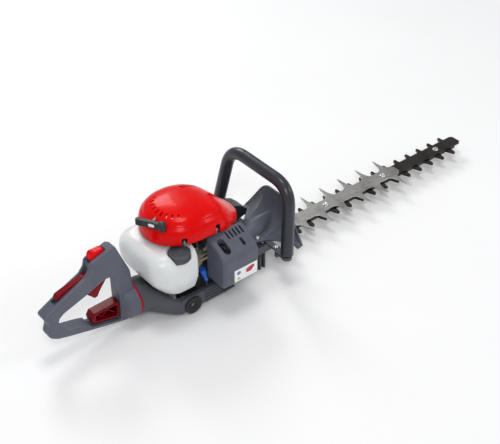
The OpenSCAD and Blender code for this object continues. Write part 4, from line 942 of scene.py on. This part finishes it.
def even(loop, count):
    """A closed outline resampled at equal steps, starting at its first point."""
    pts = [Vector(p) for p in loop]
    lengths = [0.0]
    for i in range(len(pts)):
        lengths.append(lengths[-1] + (pts[(i + 1) % len(pts)] - pts[i]).length)
    total = lengths[-1]
    out, k = [], 0
    for i in range(count):
        at = total * i / count
        while lengths[k + 1] < at:
            k += 1
        t = (at - lengths[k]) / max(1e-9, lengths[k + 1] - lengths[k])
        out.append(pts[k].lerp(pts[(k + 1) % len(pts)], t))
    return out


class TRIMMER_OT_tank(bpy.types.Operator):
    """Builds the translucent fuel tank and its cap"""
    bl_idname = "trimmer.tank"
    bl_label = "Fuel tank"

    def execute(self, context):
        low, high = local_box("fuel_cap")
        cx, cy = (low[0] + high[0]) / 2, (low[1] + high[1]) / 2
        top, radius = high[2], (high[0] - low[0]) / 2
        skin = tank_skin(0.0, "tank_skin")
        well = lathe("engine_well", [(51, 40), (51, 200)], (0, 0, 0), "z", 72)
        seat = lathe("cap_seat", [(radius + 3.2, top - 6), (radius + 3.2, 220)], (cx, cy, 0), "z", 56)
        pit = lathe("cap_pit", [(radius + 0.8, top - 20.6), (radius + 0.8, 220)], (cx, cy, 0), "z", 56)
        skin = cut(skin, well, seat, pit)
        settle(soft_edges(skin, 0.9, 3, 40), "tank_white", ["fuel_tank"], smooth=40)
        profile = [(0, top - 19.2), (radius - 1.5, top - 19.2), (radius - 0.7, top - 18.4), (radius - 0.7, top - 6.4),
                   (radius, top - 5.2),
                   (radius, top - 4.2), (radius - 1.2, top - 3.1), (radius - 3.4, top - 2.7), (radius - 5, top - 3.0),
                   (0, top - 2.4)]
        cap = lathe("cap", profile, (cx, cy, 0), "z", 72)
        pegs = grow("cap_pegs", None, ring_tree(), count=26, radius=radius - 0.9, size=(1.6, 2.2, 10.5))
        move(soft_edges(outward(pegs), 0.45, 2), cx, cy, top - 12.4)
        bar = prism("thumb_bar", fillet([(-16.2, -2.7), (16.2, -2.7), (16.2, 2.7), (-16.2, 2.7)], 2.6), top - 4, top,
                    1.3)
        slot = prism("thumb_line", fillet([(-13, -0.5), (13, -0.5), (13, 0.5), (-13, 0.5)], 0.45), top - 0.7, top + 2,
                     0)
        bar = move(turn(cut(bar, slot), 25, "Z"), cx, cy, 0)
        wings = prism("wings", fillet([(-17, -6.5), (17, -6.5), (17, 6.5), (-17, 6.5)], 6.2), top - 4.4, top - 1.5, 1.2)
        move(turn(wings, 25, "Z"), cx, cy, 0)
        settle(merge("filler_cap", [cap, pegs, bar, wings]), "frame_plastic", ["fuel_cap"], smooth=35)
        return {"FINISHED"}


# ------------------------------------------------------------------ engine covers

RIM_CENTRE = (-4.0, 5.0)


def crown_table():
    """The crown line's drop below its highest point, every millimetre from the rear to the front."""
    x = np.arange(-240, 181)
    drop_by = np.interp(x, [-90, -40, 14, 40, 66, 94, 114, 150], [2, 0, 0, 2.5, 12, 36, 58, 100])
    window = np.hanning(31)
    padded = np.pad(drop_by, 15, mode="edge")
    return np.convolve(padded, window / window.sum(), mode="valid")


CROWN = crown_table()


def crown(x):
    """Height of the cover's crown line along the machine."""
    return sizes().cover_height - float(np.interp(x, np.arange(-240, 181), CROWN))


def rim_height(x):
    """Height of the cover's rim, which falls towards the front."""
    return 169.0 - max(0.0, min(1.0, (x - 10) / 100)) * 19.0


def rim_reach(a):
    """How far the rim lies from its centre at a heading: round behind, longer in front."""
    c, s = math.cos(a), math.sin(a)
    r = sizes().rim_radius
    if c <= 0:
        return r
    return ((c / 122.0) ** 2.15 + (abs(s) / r) ** 2.15) ** (-1 / 2.15)


def cover_point(a, lift, shrink=0.0):
    """A point on the cover's skin, at heading a from the rim's centre; lift is 0 at the rim and 1 at the crown."""
    full = sizes().cover_full
    phi = lift * math.pi / 2
    out = math.cos(phi) ** (2 / full)
    up = math.sin(phi) ** (2 / full)
    reach = rim_reach(a) - shrink
    x = RIM_CENTRE[0] + math.cos(a) * reach * out
    y = RIM_CENTRE[1] + math.sin(a) * reach * out
    base = rim_height(RIM_CENTRE[0] + math.cos(a) * reach) + 7.0 * max(0.0, -math.sin(a)) ** 2
    z = base + (crown(x) - shrink - base) * up
    # a shallow fold runs round the shoulder, and the right flank is drawn in a little
    fold = math.exp(-((lift - 0.34) / 0.05) ** 2)
    flank = max(0.0, -math.sin(a)) * max(0.0, math.cos(a) + 0.35)
    inwards = fold * 1.2 + flank * 3.2 * math.sin(math.pi * min(1.0, lift * 1.6))
    return Vector((x - math.cos(a) * inwards, y - math.sin(a) * inwards, z))


def cover_skin(name, shrink):
    around, up = 144, 44
    rings = []
    for k in range(up):
        lift = (k / up) ** 1.15 * 0.995
        rings.append([cover_point(2 * math.pi * i / around, lift, shrink) for i in range(around)])
    skirt = [Vector((p.x, p.y, p.z - 5)) for p in rings[0]]
    n = around
    verts = [p for ring in [skirt] + rings for p in ring]
    faces = [(r * n + i, r * n + (i + 1) % n, (r + 1) * n + (i + 1) % n, (r + 1) * n + i) for r in range(up)
             for i in range(n)]
    verts.append(Vector((RIM_CENTRE[0], RIM_CENTRE[1], crown(RIM_CENTRE[0]) - shrink)))
    faces += [(up * n + i, up * n + (i + 1) % n, len(verts) - 1) for i in range(n)]
    faces.append(list(range(n))[::-1])
    return outward(add_mesh(name, verts, faces))


COVER_SCREWS = (118, 242, 62, 298)


def rim_spot(heading, inside):
    """Where a point inside the rim lies, at a heading in degrees."""
    a = math.radians(heading)
    r = rim_reach(a) - inside
    return RIM_CENTRE[0] + r * math.cos(a), RIM_CENTRE[1] + r * math.sin(a)


class TRIMMER_OT_covers(bpy.types.Operator):
    """Builds the red starter cover and cylinder shroud with their slots, notches and screws"""
    bl_idname = "trimmer.covers"
    bl_label = "Engine covers"

    def execute(self, context):
        outer = cover_skin("cover_outer", 0.0)
        inner = cover_skin("cover_inner", 2.4)
        move(inner, 0, 0, -2.4)
        shell = cut(outer, inner)
        # cooling slots round the hub, by the starter grip
        slots = grow("cover_slots", None, ring_tree(), count=26, radius=47.0, size=(9.0, 3.0, 40.0))
        slots = move(outward(slots), RIM_CENTRE[0], RIM_CENTRE[1], 214)
        cutters = [cut(slots, box_piece("slot_zone", (-90, -34, 150), (-22, 44, 260), 0), how="INTERSECT")]
        for a in COVER_SCREWS:
            x, y = rim_spot(a, 3.0)
            cutters.append(lathe("notch", [(6.0, 150), (6.0, 181), (4.5, 183), (0.5, 184)], (x, y, 0), "z", 28))
        rope = lathe("rope_way", [(4.2, -110), (4.2, -40)], (0, 0, 0), "x", 20)
        grip_low, grip_high = local_box("starter_rope")
        cutters.append(move(turn(rope, 29, "Z"), grip_low[0] + 62, grip_low[1] + 34, (grip_low[2] + grip_high[2]) / 2))
        for i in range(5):
            cutters.append(box_piece("far_slot", (26 + i * 7, 30, 190), (29.4 + i * 7, 44, 240), 0))
        shell = cut(shell, *cutters)
        front = bpy.data.objects.new("shroud_shell", shell.data.copy())
        SCENE.collection.objects.link(front)
        rear = cut(shell, box_piece("front_room", (52.0, -200, 0), (300, 200, 400), 0))
        front = cut(front, box_piece("rear_room", (-300, -200, 0), (52.5, 200, 400), 0))
        rear.name = "starter_shell"
        settle(rear, "cover_red", ["starter_cover"], smooth=30)
        settle(front, "cover_red", ["cylinder_shroud"], smooth=30)
        spots = [(*rim_spot(a, 6.0), 171) for a in COVER_SCREWS]
        shanks = [lathe("shank", [(2.5, 162), (2.5, 171.2)], (x, y, 0), "z", 20) for x, y, _ in spots]
        heads = screw_heads("cover_screw_heads", spots, 4.2, 3.4, (0.0, 0.0, 0.3))
        settle(merge("cover_fasteners", [heads] + shanks), "dark_steel", ["cover_screws"])
        return {"FINISHED"}


class TRIMMER_OT_starter(bpy.types.Operator):
    """Builds the starter grip with its knob and inlay, and the rope"""
    bl_idname = "trimmer.starter"
    bl_label = "Starter grip"

    def execute(self, context):
        rope_low, rope_high = local_box("starter_rope")
        yaw = 209.0
        d = Vector((math.cos(math.radians(yaw)), math.sin(math.radians(yaw))))
        z = (rope_low[2] + rope_high[2]) / 2
        # the rope's outer end sits in the middle of the bar
        middle = Vector((rope_low[0] + 0.9, rope_low[1] + 1.5))
        bar = prism("bar", fillet([(-10.5, -30), (0.4, -30), (0.4, 30), (-10.5, 30)], 4.6, 6), -6.6, 6.6, 2.2, steps=4)
        dish = lathe("dish", [(60, -9), (60, 9)], (58.3, 0, 0), "z", 120)
        bar = cut(bar, dish)
        knob = lathe("knob", [(6.2, -7.6), (7.4, -6.6), (7.4, 6.2), (6.6, 8.6), (4.4, 10.2), (0, 10.8)], (-5, 23, 0),
                     "z", 40)
        grip = cut(bar, knob, how="UNION")
        place = Matrix.Translation((middle.x, middle.y, z)) @ Matrix.Rotation(math.radians(yaw), 4, "Z")
        grip.data.transform(place)
        settle(grip, "black_plastic", ["starter_grip"], smooth=32)
        inlay = prism("inlay", fillet([(-6.5, -3.2), (6.5, -3.2), (6.5, 3.2), (-6.5, 3.2)], 3.1, 6), -0.5, 0.5, 0.3,
                      axis="x")
        inlay.data.transform(place @ Matrix.Translation((-1.55, 3, 0)))
        settle(inlay, "label", body="starter_grip")
        steps = [(t, 1.75 + 0.12 * math.sin(t * 2.4)) for t in np.linspace(0, 66, 100)]
        start = middle - d * 5.5
        path = [(start.x - d.x * t, start.y - d.y * t, z) for t, _ in steps]
        settle(tube("rope_line", path, [r for _, r in steps], 16), "rope", ["starter_rope"])
        return {"FINISHED"}


# ------------------------------------------------------------------ air filter


class TRIMMER_OT_filter(bpy.types.Operator):
    """Builds the air filter cover with its vents, the choke lever and the plain sticker"""
    bl_idname = "trimmer.air_filter"
    bl_label = "Air filter"

    def execute(self, context):
        low, high = local_box("air_filter_cover")
        x0, x1 = low[0], high[0]
        back, face = -high[1], -low[1]
        z0, z1 = low[2], high[2]
        side = [(-back + 30, z0), (-face + 7, z0, 9), (-face, z0 + 9, 12), (-face, z1 - 33, 18),
                (-face + 10, z1 - 19, 22), (-back, z1, 9),
                (-back + 30, z1, 7)]
        body = prism("lid", fillet(side, 7, 7), x0, x1, 7.0, axis="x", steps=6)
        body = cut(body, box_piece("mouth", (x0 - 9, -back, z0 - 9), (x1 + 9, 40, z1 + 9)))
        room = prism("room", fillet([(-back + 20, z0 + 4), (-face + 8, z0 + 4), (-face + 3, z0 + 12),
                                     (-face + 3, z1 - 35), (-face + 12, z1 - 23),
                                     (-back + 20, z1 - 9)], 6), x0 + 4, x1 - 4, 3, axis="x")
        slope = math.degrees(math.atan2(14, face - 11 - back))
        cutters = [room]
        for i in range(5):
            vent = prism("vent", fillet([(-2.0, -8.5), (2.0, -8.5), (2.0, 8.5), (-2.0, 8.5)], 1.6), -14, 10, 0)
            cutters.append(move(turn(vent, slope, "X"), x0 + 38 + i * 8.2, -back - 13.5, z1 - 5))
        knob_low, knob_high = local_box("choke_lever")
        kx, ky = (knob_low[0] + knob_high[0]) / 2, (knob_low[1] + knob_high[1]) / 2
        pocket = prism("pocket", fillet([(-7.5, -17), (7.5, -17), (7.5, 15), (-7.5, 15)], 7.2, 7), -30, 30, 0)
        cutters.append(move(pocket, kx, ky - 2, z1 - 8))
        moon = prism("moon", fillet([(-3.2, -9, 3), (2.4, -8, 2), (3.6, 0, 7), (2.4, 8, 2), (-3.2, 9, 3)], 2, 6), -9,
                     30, 0)
        cutters.append(move(moon, x0 + 57, ky - 9, z1 - 13))
        body = cut(body, *cutters)
        settle(soft_edges(body, 0.7, 3, 40), "cover_grey", ["air_filter_cover"], smooth=32)
        liner = box_piece("liner", (x0 + 32, -back - 23, z1 - 22), (x0 + 78, -back - 4, z1 - 17), 0.6)
        settle(liner, "black_plastic", body="engine_unit")
        bars = grow("vent_bars", None, bar_row_tree(), count=6, first=(x0 + 34.6, -back - 13.0, z1 - 11.5),
                    step=(8.2, 0.0, 0.0),
                    size=(2.6, 15.0, 7.0), tilt=(math.radians(slope), 0.0, 0.0))
        settle(soft_edges(outward(bars), 0.5, 2), "cover_red", body="engine_unit")
        tray = prism("pocket_wall", fillet([(-8.8, -18.5), (8.8, -18.5), (8.8, 16.5), (-8.8, 16.5)], 8.2, 7), -20,
                     -18, 0.5)
        settle(move(tray, kx, ky - 2, z1 - 8), "black_plastic", body="engine_unit")
        top = knob_high[2]
        stem = lathe("stem", [(6.3, knob_low[2]), (6.3, top - 11), (5.4, top - 10), (0, top - 10)], (kx, ky, 0), "z",
                     36)
        blade = prism("lever", fillet([(-2.2, -6.2), (2.2, -6.2), (2.2, 6.2), (-2.2, 6.2)], 1.9), top - 11, top, 1.2)
        settle(merge("choke_knob", [stem, move(blade, kx, ky, 0)]), "black_plastic", ["choke_lever"])
        pins = screw_heads("lid_pins", [(kx - 1.5, ky - 12, z1 - 27.6), (kx + 1, ky + 10.5, z1 - 27.6)], 2.3, 1.8)
        settle(pins, "bright_steel", body="engine_unit")
        s_low, s_high = local_box("cover_label")
        sx, sz = (s_low[0] + s_high[0]) / 2, (s_low[2] + s_high[2]) / 2
        w, h = (s_high[0] - s_low[0]) / 2, (s_high[2] - s_low[2]) / 2
        y = s_low[1]
        film = prism("film", fillet([(-w, -h), (w, -h), (w, h), (-w, h)], 1.6), y, y + 0.3, 0, axis="y")
        settle(move(film, sx, 0, sz), "label", ["cover_label"])
        patch = prism("patch_red", fillet([(-11, -5, 5), (2, -6.5, 5), (11, 3, 4), (7, 7.5, 3), (-9, 4, 5)], 4, 6),
                      y - 0.08, y, 0, axis="y")
        settle(move(patch, sx + 10, 0, sz + 3), "label_red", body="engine_unit")
        disc = prism("patch_blue", fillet([(-4.5, -4), (4.5, -4), (4.5, 4), (-4.5, 4)], 3.9, 6), y - 0.08, y, 0,
                     axis="y")
        settle(move(disc, sx - 17, 0, sz + 5), "label_blue", body="engine_unit")
        mark = prism("patch_sand", fillet([(-4.5, -3.5), (4.5, -3.5), (0, 4)], 0.8), y - 0.08, y, 0, axis="y")
        settle(move(mark, sx - 17, 0, sz - 7), "label_sand", body="engine_unit")
        return {"FINISHED"}


# ------------------------------------------------------------------ guard, handle, blades


GUARD_SCREWS = [(x, y) for x in (112, 161) for y in (-25, 25)]


class TRIMMER_OT_hand_guard(bpy.types.Operator):
    """Builds the scooped hand guard with its ridge and screws"""
    bl_idname = "trimmer.hand_guard"
    bl_label = "Hand guard"

    def execute(self, context):
        _, high = local_box("hand_guard")
        plate_x, top, half = high[0] - 3.0, high[2], high[1]

        def top_edge(y):
            y = abs(y)
            if y <= 14:
                return top
            if y <= 40:
                return top - 14 * ((y - 14) / 26) ** 2
            return max(52.0, top - 14 - (top - 14 - 60) * (y - 40) / (half - 5 - 40))

        def rear_edge(y):
            y = abs(y)
            if y <= 33:
                return Vector((150.0, y, 62.0))
            t = (y - 33) / (half - 33)
            return Vector((150 + 62 * min(1, t * 1.25) ** 0.45, y, 60.0 - 10 * t))

        across, rows = 64, 26
        verts, faces = [], []
        for j in range(across + 1):
            y = -half + 2 * half * j / across
            e0, z1 = rear_edge(y), top_edge(y)
            bulge = 3.0 * (1 - (abs(y) / half) ** 2)
            c = Vector((plate_x + 2 + bulge, y, e0.z))
            e1 = Vector((plate_x + bulge - 2.0, y, max(z1, e0.z + 4)))
            for i in range(rows + 1):
                t = i / rows
                p = e0 * (1 - t) ** 2 + c * 2 * t * (1 - t) + e1 * t * t
                verts.append((min(p.x, high[0] - 1.5), y, p.z))
        for j in range(across):
            for i in range(rows):
                a = j * (rows + 1) + i
                faces.append((a, a + rows + 1, a + rows + 2, a + 1))
        sheet = add_mesh("scoop", verts, faces)
        m = sheet.modifiers.new("wall", "SOLIDIFY")
        m.thickness = 3.0
        m.offset = 0
        m.use_even_offset = True
        evaluate(sheet)
        outward(sheet)
        gap = box_piece("bar_gap", (190, -39, 0), (240, 39, 44), 1)
        sheet = cut(sheet, gap)
        sheet = soft_edges(sheet, 0.9, 3, 50)
        base = box_piece("base", (100, -33, 60), (168, 33, 64), 1.4)
        cut(base, *[lathe("hole", [(2.6, 50), (2.6, 70)], (x, y, 0), "z", 20) for x, y in GUARD_SCREWS])
        rings = []
        for x, w, h in ((114, 6, 0.5), (122, 13, 5), (134, 18, 11), (148, 21, 17), (164, 22, 22), (180, 21, 26),
                        (196, 18, 28.5),
                        (208, 13, 29.5), (217, 8.5, 29.5), (224, 4.5, 29)):
            ring = []
            for i in range(28):
                a = math.pi * i / 27
                ring.append((x, w * math.cos(a) * (0.72 + 0.28 * abs(math.cos(a))), 62 + h * math.sin(a) ** 0.8))
            rings.append(ring)
        ridge = loft("ridge", rings)
        settle(merge("hand_guard_body", [sheet, base, ridge]), "cover_grey", ["hand_guard"], smooth=34)
        shanks = [lathe("shank", [(2.4, 46), (2.4, 65)], (x, y, 0), "z", 18) for x, y in GUARD_SCREWS]
        spots = [(x, y, 64.2 if x < 140 else 64.4) for x, y in GUARD_SCREWS]
        heads = screw_heads("guard_screw_heads", spots, 4.3, 3.3, (0.0, 0.0, 0.2))
        settle(merge("guard_fasteners", [heads] + shanks), "bright_steel", ["guard_screws"])
        return {"FINISHED"}


class TRIMMER_OT_front_handle(bpy.types.Operator):
    """Builds the bent tube of the front handle and its bracket"""
    bl_idname = "trimmer.front_handle"
    bl_label = "Front handle"

    def execute(self, context):
        half, foot, top, lean = 107.0, 70.0, 210.0, 20.0
        pts = bend([(0, -half, foot), (0, -half + lean, top), (0, half - lean, top), (0, half, foot)], 42.0, 18)
        tilt = (Matrix.Translation((167, 0, foot)) @ Matrix.Rotation(math.radians(7.8), 4, "Y")
                @ Matrix.Translation((0, 0, -foot)))
        path = [tilt @ Vector(p) for p in pts]
        ends = [(path[0] - path[1]).normalized(), (path[-1] - path[-2]).normalized()]
        path = ([path[0], path[0] - ends[0] * 0.9, path[0] - ends[0] * 2.4] + path[1:-1]
                + [path[-1] - ends[1] * 2.4, path[-1] - ends[1] * 0.9, path[-1]])
        radii = [11.2, 12.2, 12.5] + [12.5] * (len(path) - 6) + [12.5, 12.2, 11.2]
        bar = tube("handle_tube", path, radii, 48)
        settle(bar, "handle_coat", ["front_handle"], smooth=50)
        settle(node_copy("handle_yoke", "handle_bracket", 1.2, 3), "frame_plastic", ["handle_bracket"])
        low, high = local_box("bracket_bolts")
        spots = [((low[0] + high[0]) / 2, s * (high[1] - (high[0] - low[0]) / 2), high[2] - 3.5) for s in (-1, 1)]
        shanks = [lathe("shank", [(2.4, low[2]), (2.4, high[2] - 3)], (x, y, 0), "z", 18) for x, y, _ in spots]
        heads = screw_heads("yoke_bolt_heads", spots, 4.2, 3.4, (0.0, 0.0, 0.1))
        settle(merge("yoke_bolts", [heads] + shanks), "bright_steel", ["bracket_bolts"])
        return {"FINISHED"}


def side_tooth(tip, reach, half, root):
    """Outline of one blade tooth, from its root inside the strip out to its tip."""
    return fillet([(tip + 6.5, half - root, 0), (tip + 6.5, half, 1), (tip + 4, half + 3, 1.5),
                   (tip + 2.6, reach - 2, 1), (tip + 2, reach, 0.6),
                   (tip - 2, reach, 0.8), (tip - 3, reach - 1.5, 1), (tip - 9, half, 3), (tip - 9, half - root, 0)],
                   1, 3)


BLADE_BOLTS_X = (203, 368, 533, 698)


class TRIMMER_OT_blades(bpy.types.Operator):
    """Builds the two moving blades, the support bar, the tooth guard and their bolts"""
    bl_idname = "trimmer.blades"
    bl_label = "Blades"

    def execute(self, context):
        grind = sizes().tooth_grind
        for node in ("lower_blade", "upper_blade"):
            low, high = local_box(node)
            z0, z1 = low[2], high[2]
            tip = high[0]
            tooth = prism("tooth", side_tooth(740, 31.5, 15, 4), z0 + 0.02, z1 - 0.02, grind, edge_low=grind)
            teeth = grow(node + "_teeth", tooth, comb_tree(), count=15, pitch=35.0, shift=13.0)
            strip = prism("strip", [(96, -14.6), (tip - 3, -14.6), (tip, -11.6), (tip, 11.6), (tip - 3, 14.6),
                                    (96, 14.6)], z0, z1, 0.4)
            slots = []
            for x in (107, 150, *BLADE_BOLTS_X):
                slots.append(prism("slot", fillet([(x - 13.15, -4.4), (x + 13.15, -4.4), (x + 13.15, 4.4),
                                                   (x - 13.15, 4.4)], 4.39, 6), z0 - 1, z1 + 1, 0))
            strip = cut(strip, *slots)
            yoke = node_copy(node + "_yoke", node, 0)
            cut(yoke, box_piece("strip_room", (110, -60, 0), (900, 60, 80), 0))
            settle(merge(node + "_ground", [teeth, strip, yoke]), "black_steel", [node], smooth=30)
        settle(node_copy("bar_plate", "support_bar", 0.5, 2), "black_steel", ["support_bar"])
        low, high = local_box("tooth_guard")
        z0, z1 = low[2], high[2]
        reach = high[1]
        end = high[0]
        half = 15.0
        x = end - 22
        spike = fillet([(x + 11, half - 4, 0), (x + 11, half, 5), (x + 6, half + 5, 8), (x + 2.6, reach * 0.62, 12),
                        (x + 0.9, reach, 0.5),
                        (x - 0.9, reach, 0.5), (x - 6, reach * 0.62, 16), (x - 12, half + 3, 8), (x - 18, half, 5),
                        (x - 18, half - 4, 0)], 3, 4)
        point = prism("guard_point", spike, z0 + 0.02, z1 - 0.02, 0.6, edge_low=0.3)
        points = grow("guard_points", point, comb_tree(), count=6, pitch=52.5, shift=0.0)
        plate = prism("guard_plate", [(low[0], -half), (end - 8, -half), (end, 6 - half), (end, half - 6),
                                      (end - 8, half), (low[0], half)],
                      z0, z1, 0.6, edge_low=0.2)
        holes = [lathe("hole", [(4.02, z0 - 2), (4.02, z1 + 2)], (bx, 0, 0), "z", 28) for bx in BLADE_BOLTS_X[:3]]
        plate = cut(plate, *holes)
        rib = box_piece("guard_rib", (low[0] + 6, -2.6, z1 - 0.4), (low[0] + 24, 2.6, z1 + 0.5), 0.4)
        settle(merge("guard_comb", [points, plate, rib]), "guard_steel", ["tooth_guard"], smooth=30)
        b_low, _ = local_box("blade_bolts")
        spots, rest = [], []
        for bx in BLADE_BOLTS_X:
            seat = z1 if bx < end else z0
            spots.append((bx, 0, seat + 0.3))
            rest.append(lathe("shank", [(3.98, b_low[2]), (3.98, seat + 0.6)], (bx, 0, 0), "z", 28))
            rest.append(lathe("nut", [(5.2, b_low[2]), (6.1, b_low[2] + 0.7), (6.1, b_low[2] + 4.3),
                                      (5.4, b_low[2] + 5.0)], (bx, 0, 0), "z", 6))
        heads = screw_heads("blade_bolt_heads", spots, 5.7, 2.9, (0.0, 0.0, 0.35))
        settle(merge("blade_fasteners", [heads] + rest), "bright_steel", ["blade_bolts"])
        return {"FINISHED"}


# ------------------------------------------------------------------ gear case and engine


class TRIMMER_OT_engine(bpy.types.Operator):
    """Gives the gear case, muffler guard and engine parts their softened castings and hoses"""
    bl_idname = "trimmer.engine"
    bl_label = "Engine and gear case"

    def execute(self, context):
        for node, edge, segments in (("gearcase_lower", 1.0, 3), ("gearcase_upper", 1.0, 3), ("clutch_housing", 0.8, 2),
                                     ("crankcase", 0.8, 2), ("carburetor", 0.7, 2), ("intake_insulator", 0.6, 2),
                                     ("air_filter_base", 0.8, 2), ("engine_cylinder", 0.5, 2),
                                     ("ignition_coil", 0.8, 2)):
            settle(node_copy(node + "_cast", node, edge, segments), SLOT_OF[node], [node], smooth=40)
        settle(node_copy("muffler_shield", "muffler_guard", 0.8, 3), "black_plastic", ["muffler_guard"], smooth=35)
        hoses = []
        f_low, _ = local_box("fuel_lines")
        for y, drop_by in ((-47.3, 0.0), (-56.3, 1.5)):
            path = bend([(f_low[0], y, 111), (-4, y, 111 - drop_by), (14, y - 0.6, 111.4), (31.8, y, 111)], 9, 8)
            hoses.append(tube("hose", path, 2.15, 18))
        settle(merge("fuel_hoses", hoses), "insulator", ["fuel_lines"])
        c_low, _ = local_box("stop_connector")
        lead = tube("switch_lead", bend([(11, -56, c_low[2]), (11.3, -56, c_low[2] + 9), (10.6, -56, c_low[2] + 18)],
                                        5, 6), 2.4, 18)
        settle(lead, "black_rubber", body="engine_unit")
        sleeve = lathe("sleeve", [(3.2, 0), (3.9, 0.8), (3.9, 14), (4.4, 16), (6.0, 18.5), (6.3, 20), (6.3, 30.6),
                                  (5.6, 31.8), (3.6, 32), (3.2, 28), (0, 28)],
                       (0, 0, 0), "z", 36)
        turn(sleeve, -16, "Y")
        settle(move(sleeve, 11, -56, c_low[2] + 17), "blue_sleeve", ["stop_connector"])
        return {"FINISHED"}


# ------------------------------------------------------------------ stage


# each lamp: name, place, aim, width in metres and power in watts
LAMPS = (("key", (-1.6, -1.9, 2.6), (0.0, 0.0, 0.1), 0.9, 30.0),
         ("fill", (1.9, -1.4, 1.6), (0.1, 0.0, 0.1), 0.8, 11.0),
         ("rim", (0.6, 2.3, 1.9), (0.0, 0.0, 0.15), 1.0, 26.0),
         ("top", (-0.2, 0.1, 2.6), (-0.1, 0.0, 0.1), 0.7, 15.0))
# the camera's heading, height and roll in radians, and its eye in metres from the crank axis
VIEW_TURN = (-0.690901, 0.652282, 0.004187)
VIEW_EYE = (-0.98101, -1.38393, 1.45897)


class TRIMMER_OT_stage(bpy.types.Operator):
    """Sets up the pale floor, the studio light and the camera"""
    bl_idname = "trimmer.stage"
    bl_label = "Stage"

    def execute(self, context):
        size = sizes().floor_size
        floor = add_mesh("floor", [(-size / 2, -size / 2, 0), (size / 2, -size / 2, 0), (size / 2, size / 2, 0),
                                   (-size / 2, size / 2, 0)],
                         [(0, 1, 2, 3)])
        floor.data.materials.append(FINISH["floor_pale"])
        world = bpy.data.worlds.new("studio")
        SCENE.world = world
        world.use_nodes = True
        back = world.node_tree.nodes["Background"]
        back.inputs["Color"].default_value = (0.97, 0.98, 1.0, 1)
        back.inputs["Strength"].default_value = 0.46
        for name, place, aim, width, power in LAMPS:
            light = bpy.data.lights.new(name, "AREA")
            light.shape = "SQUARE"
            light.size = width
            light.energy = power
            lamp = bpy.data.objects.new(name, light)
            SCENE.collection.objects.link(lamp)
            lamp.location = place
            lamp.rotation_euler = (Vector(aim) - Vector(place)).to_track_quat("-Z", "Y").to_euler()
        az, el, roll = VIEW_TURN
        eye = Vector(VIEW_EYE) + CRANK
        back_axis = Vector((math.sin(az) * math.cos(el), -math.cos(az) * math.cos(el), math.sin(el)))
        right0 = Vector((math.cos(az), math.sin(az), 0))
        up0 = back_axis.cross(right0)
        c, s = math.cos(roll), math.sin(roll)
        right, up = right0 * c + up0 * s, up0 * c - right0 * s
        camera = bpy.data.cameras.new("view")
        camera.lens = 82.86
        camera.sensor_width = 36
        camera.clip_end = 100
        body = bpy.data.objects.new("view", camera)
        SCENE.collection.objects.link(body)
        body.matrix_world = Matrix((
            (right.x, up.x, back_axis.x, eye.x), (right.y, up.y, back_axis.y, eye.y),
            (right.z, up.z, back_axis.z, eye.z), (0, 0, 0, 1)))
        SCENE.camera = body
        SCENE.view_settings.view_transform = "Standard"
        return {"FINISHED"}


class TRIMMER_OT_finishes(bpy.types.Operator):
    """Makes every finish and gives it to the frame's own parts"""
    bl_idname = "trimmer.finishes"
    bl_label = "Finishes"

    def execute(self, context):
        make_finishes()
        return {"FINISHED"}


OPERATORS = [TRIMMER_OT_finishes, TRIMMER_OT_stage, TRIMMER_OT_rear_handle, TRIMMER_OT_controls, TRIMMER_OT_frame,
             TRIMMER_OT_tank,
             TRIMMER_OT_covers, TRIMMER_OT_starter, TRIMMER_OT_filter, TRIMMER_OT_hand_guard, TRIMMER_OT_front_handle,
             TRIMMER_OT_blades, TRIMMER_OT_engine]


class TRIMMER_PT_panel(bpy.types.Panel):
    """Lists the trimmer's sizes, colours and pieces"""
    bl_label = "Hedge trimmer"
    bl_idname = "TRIMMER_PT_panel"
    bl_space_type = "VIEW_3D"
    bl_region_type = "UI"
    bl_category = "Trimmer"

    def draw(self, context):
        layout = self.layout
        for group in (context.scene.trimmer_colours, context.scene.trimmer_sizes):
            for key in group.__annotations__:
                layout.prop(group, key)
        for op in OPERATORS:
            layout.operator(op.bl_idname)


CLASSES = [TrimmerColours, TrimmerSizes] + OPERATORS + [TRIMMER_PT_panel]


def register():
    for cls in CLASSES:
        bpy.utils.register_class(cls)
    bpy.types.Scene.trimmer_colours = PointerProperty(type=TrimmerColours)
    bpy.types.Scene.trimmer_sizes = PointerProperty(type=TrimmerSizes)


def unregister():
    del bpy.types.Scene.trimmer_sizes
    del bpy.types.Scene.trimmer_colours
    for cls in reversed(CLASSES):
        bpy.utils.unregister_class(cls)


def main():
    register()
    for op in OPERATORS:
        group, name = op.bl_idname.split(".")
        getattr(getattr(bpy.ops, group), name)()
    bpy.context.view_layer.update()


if __name__ == "__main__":
    main()
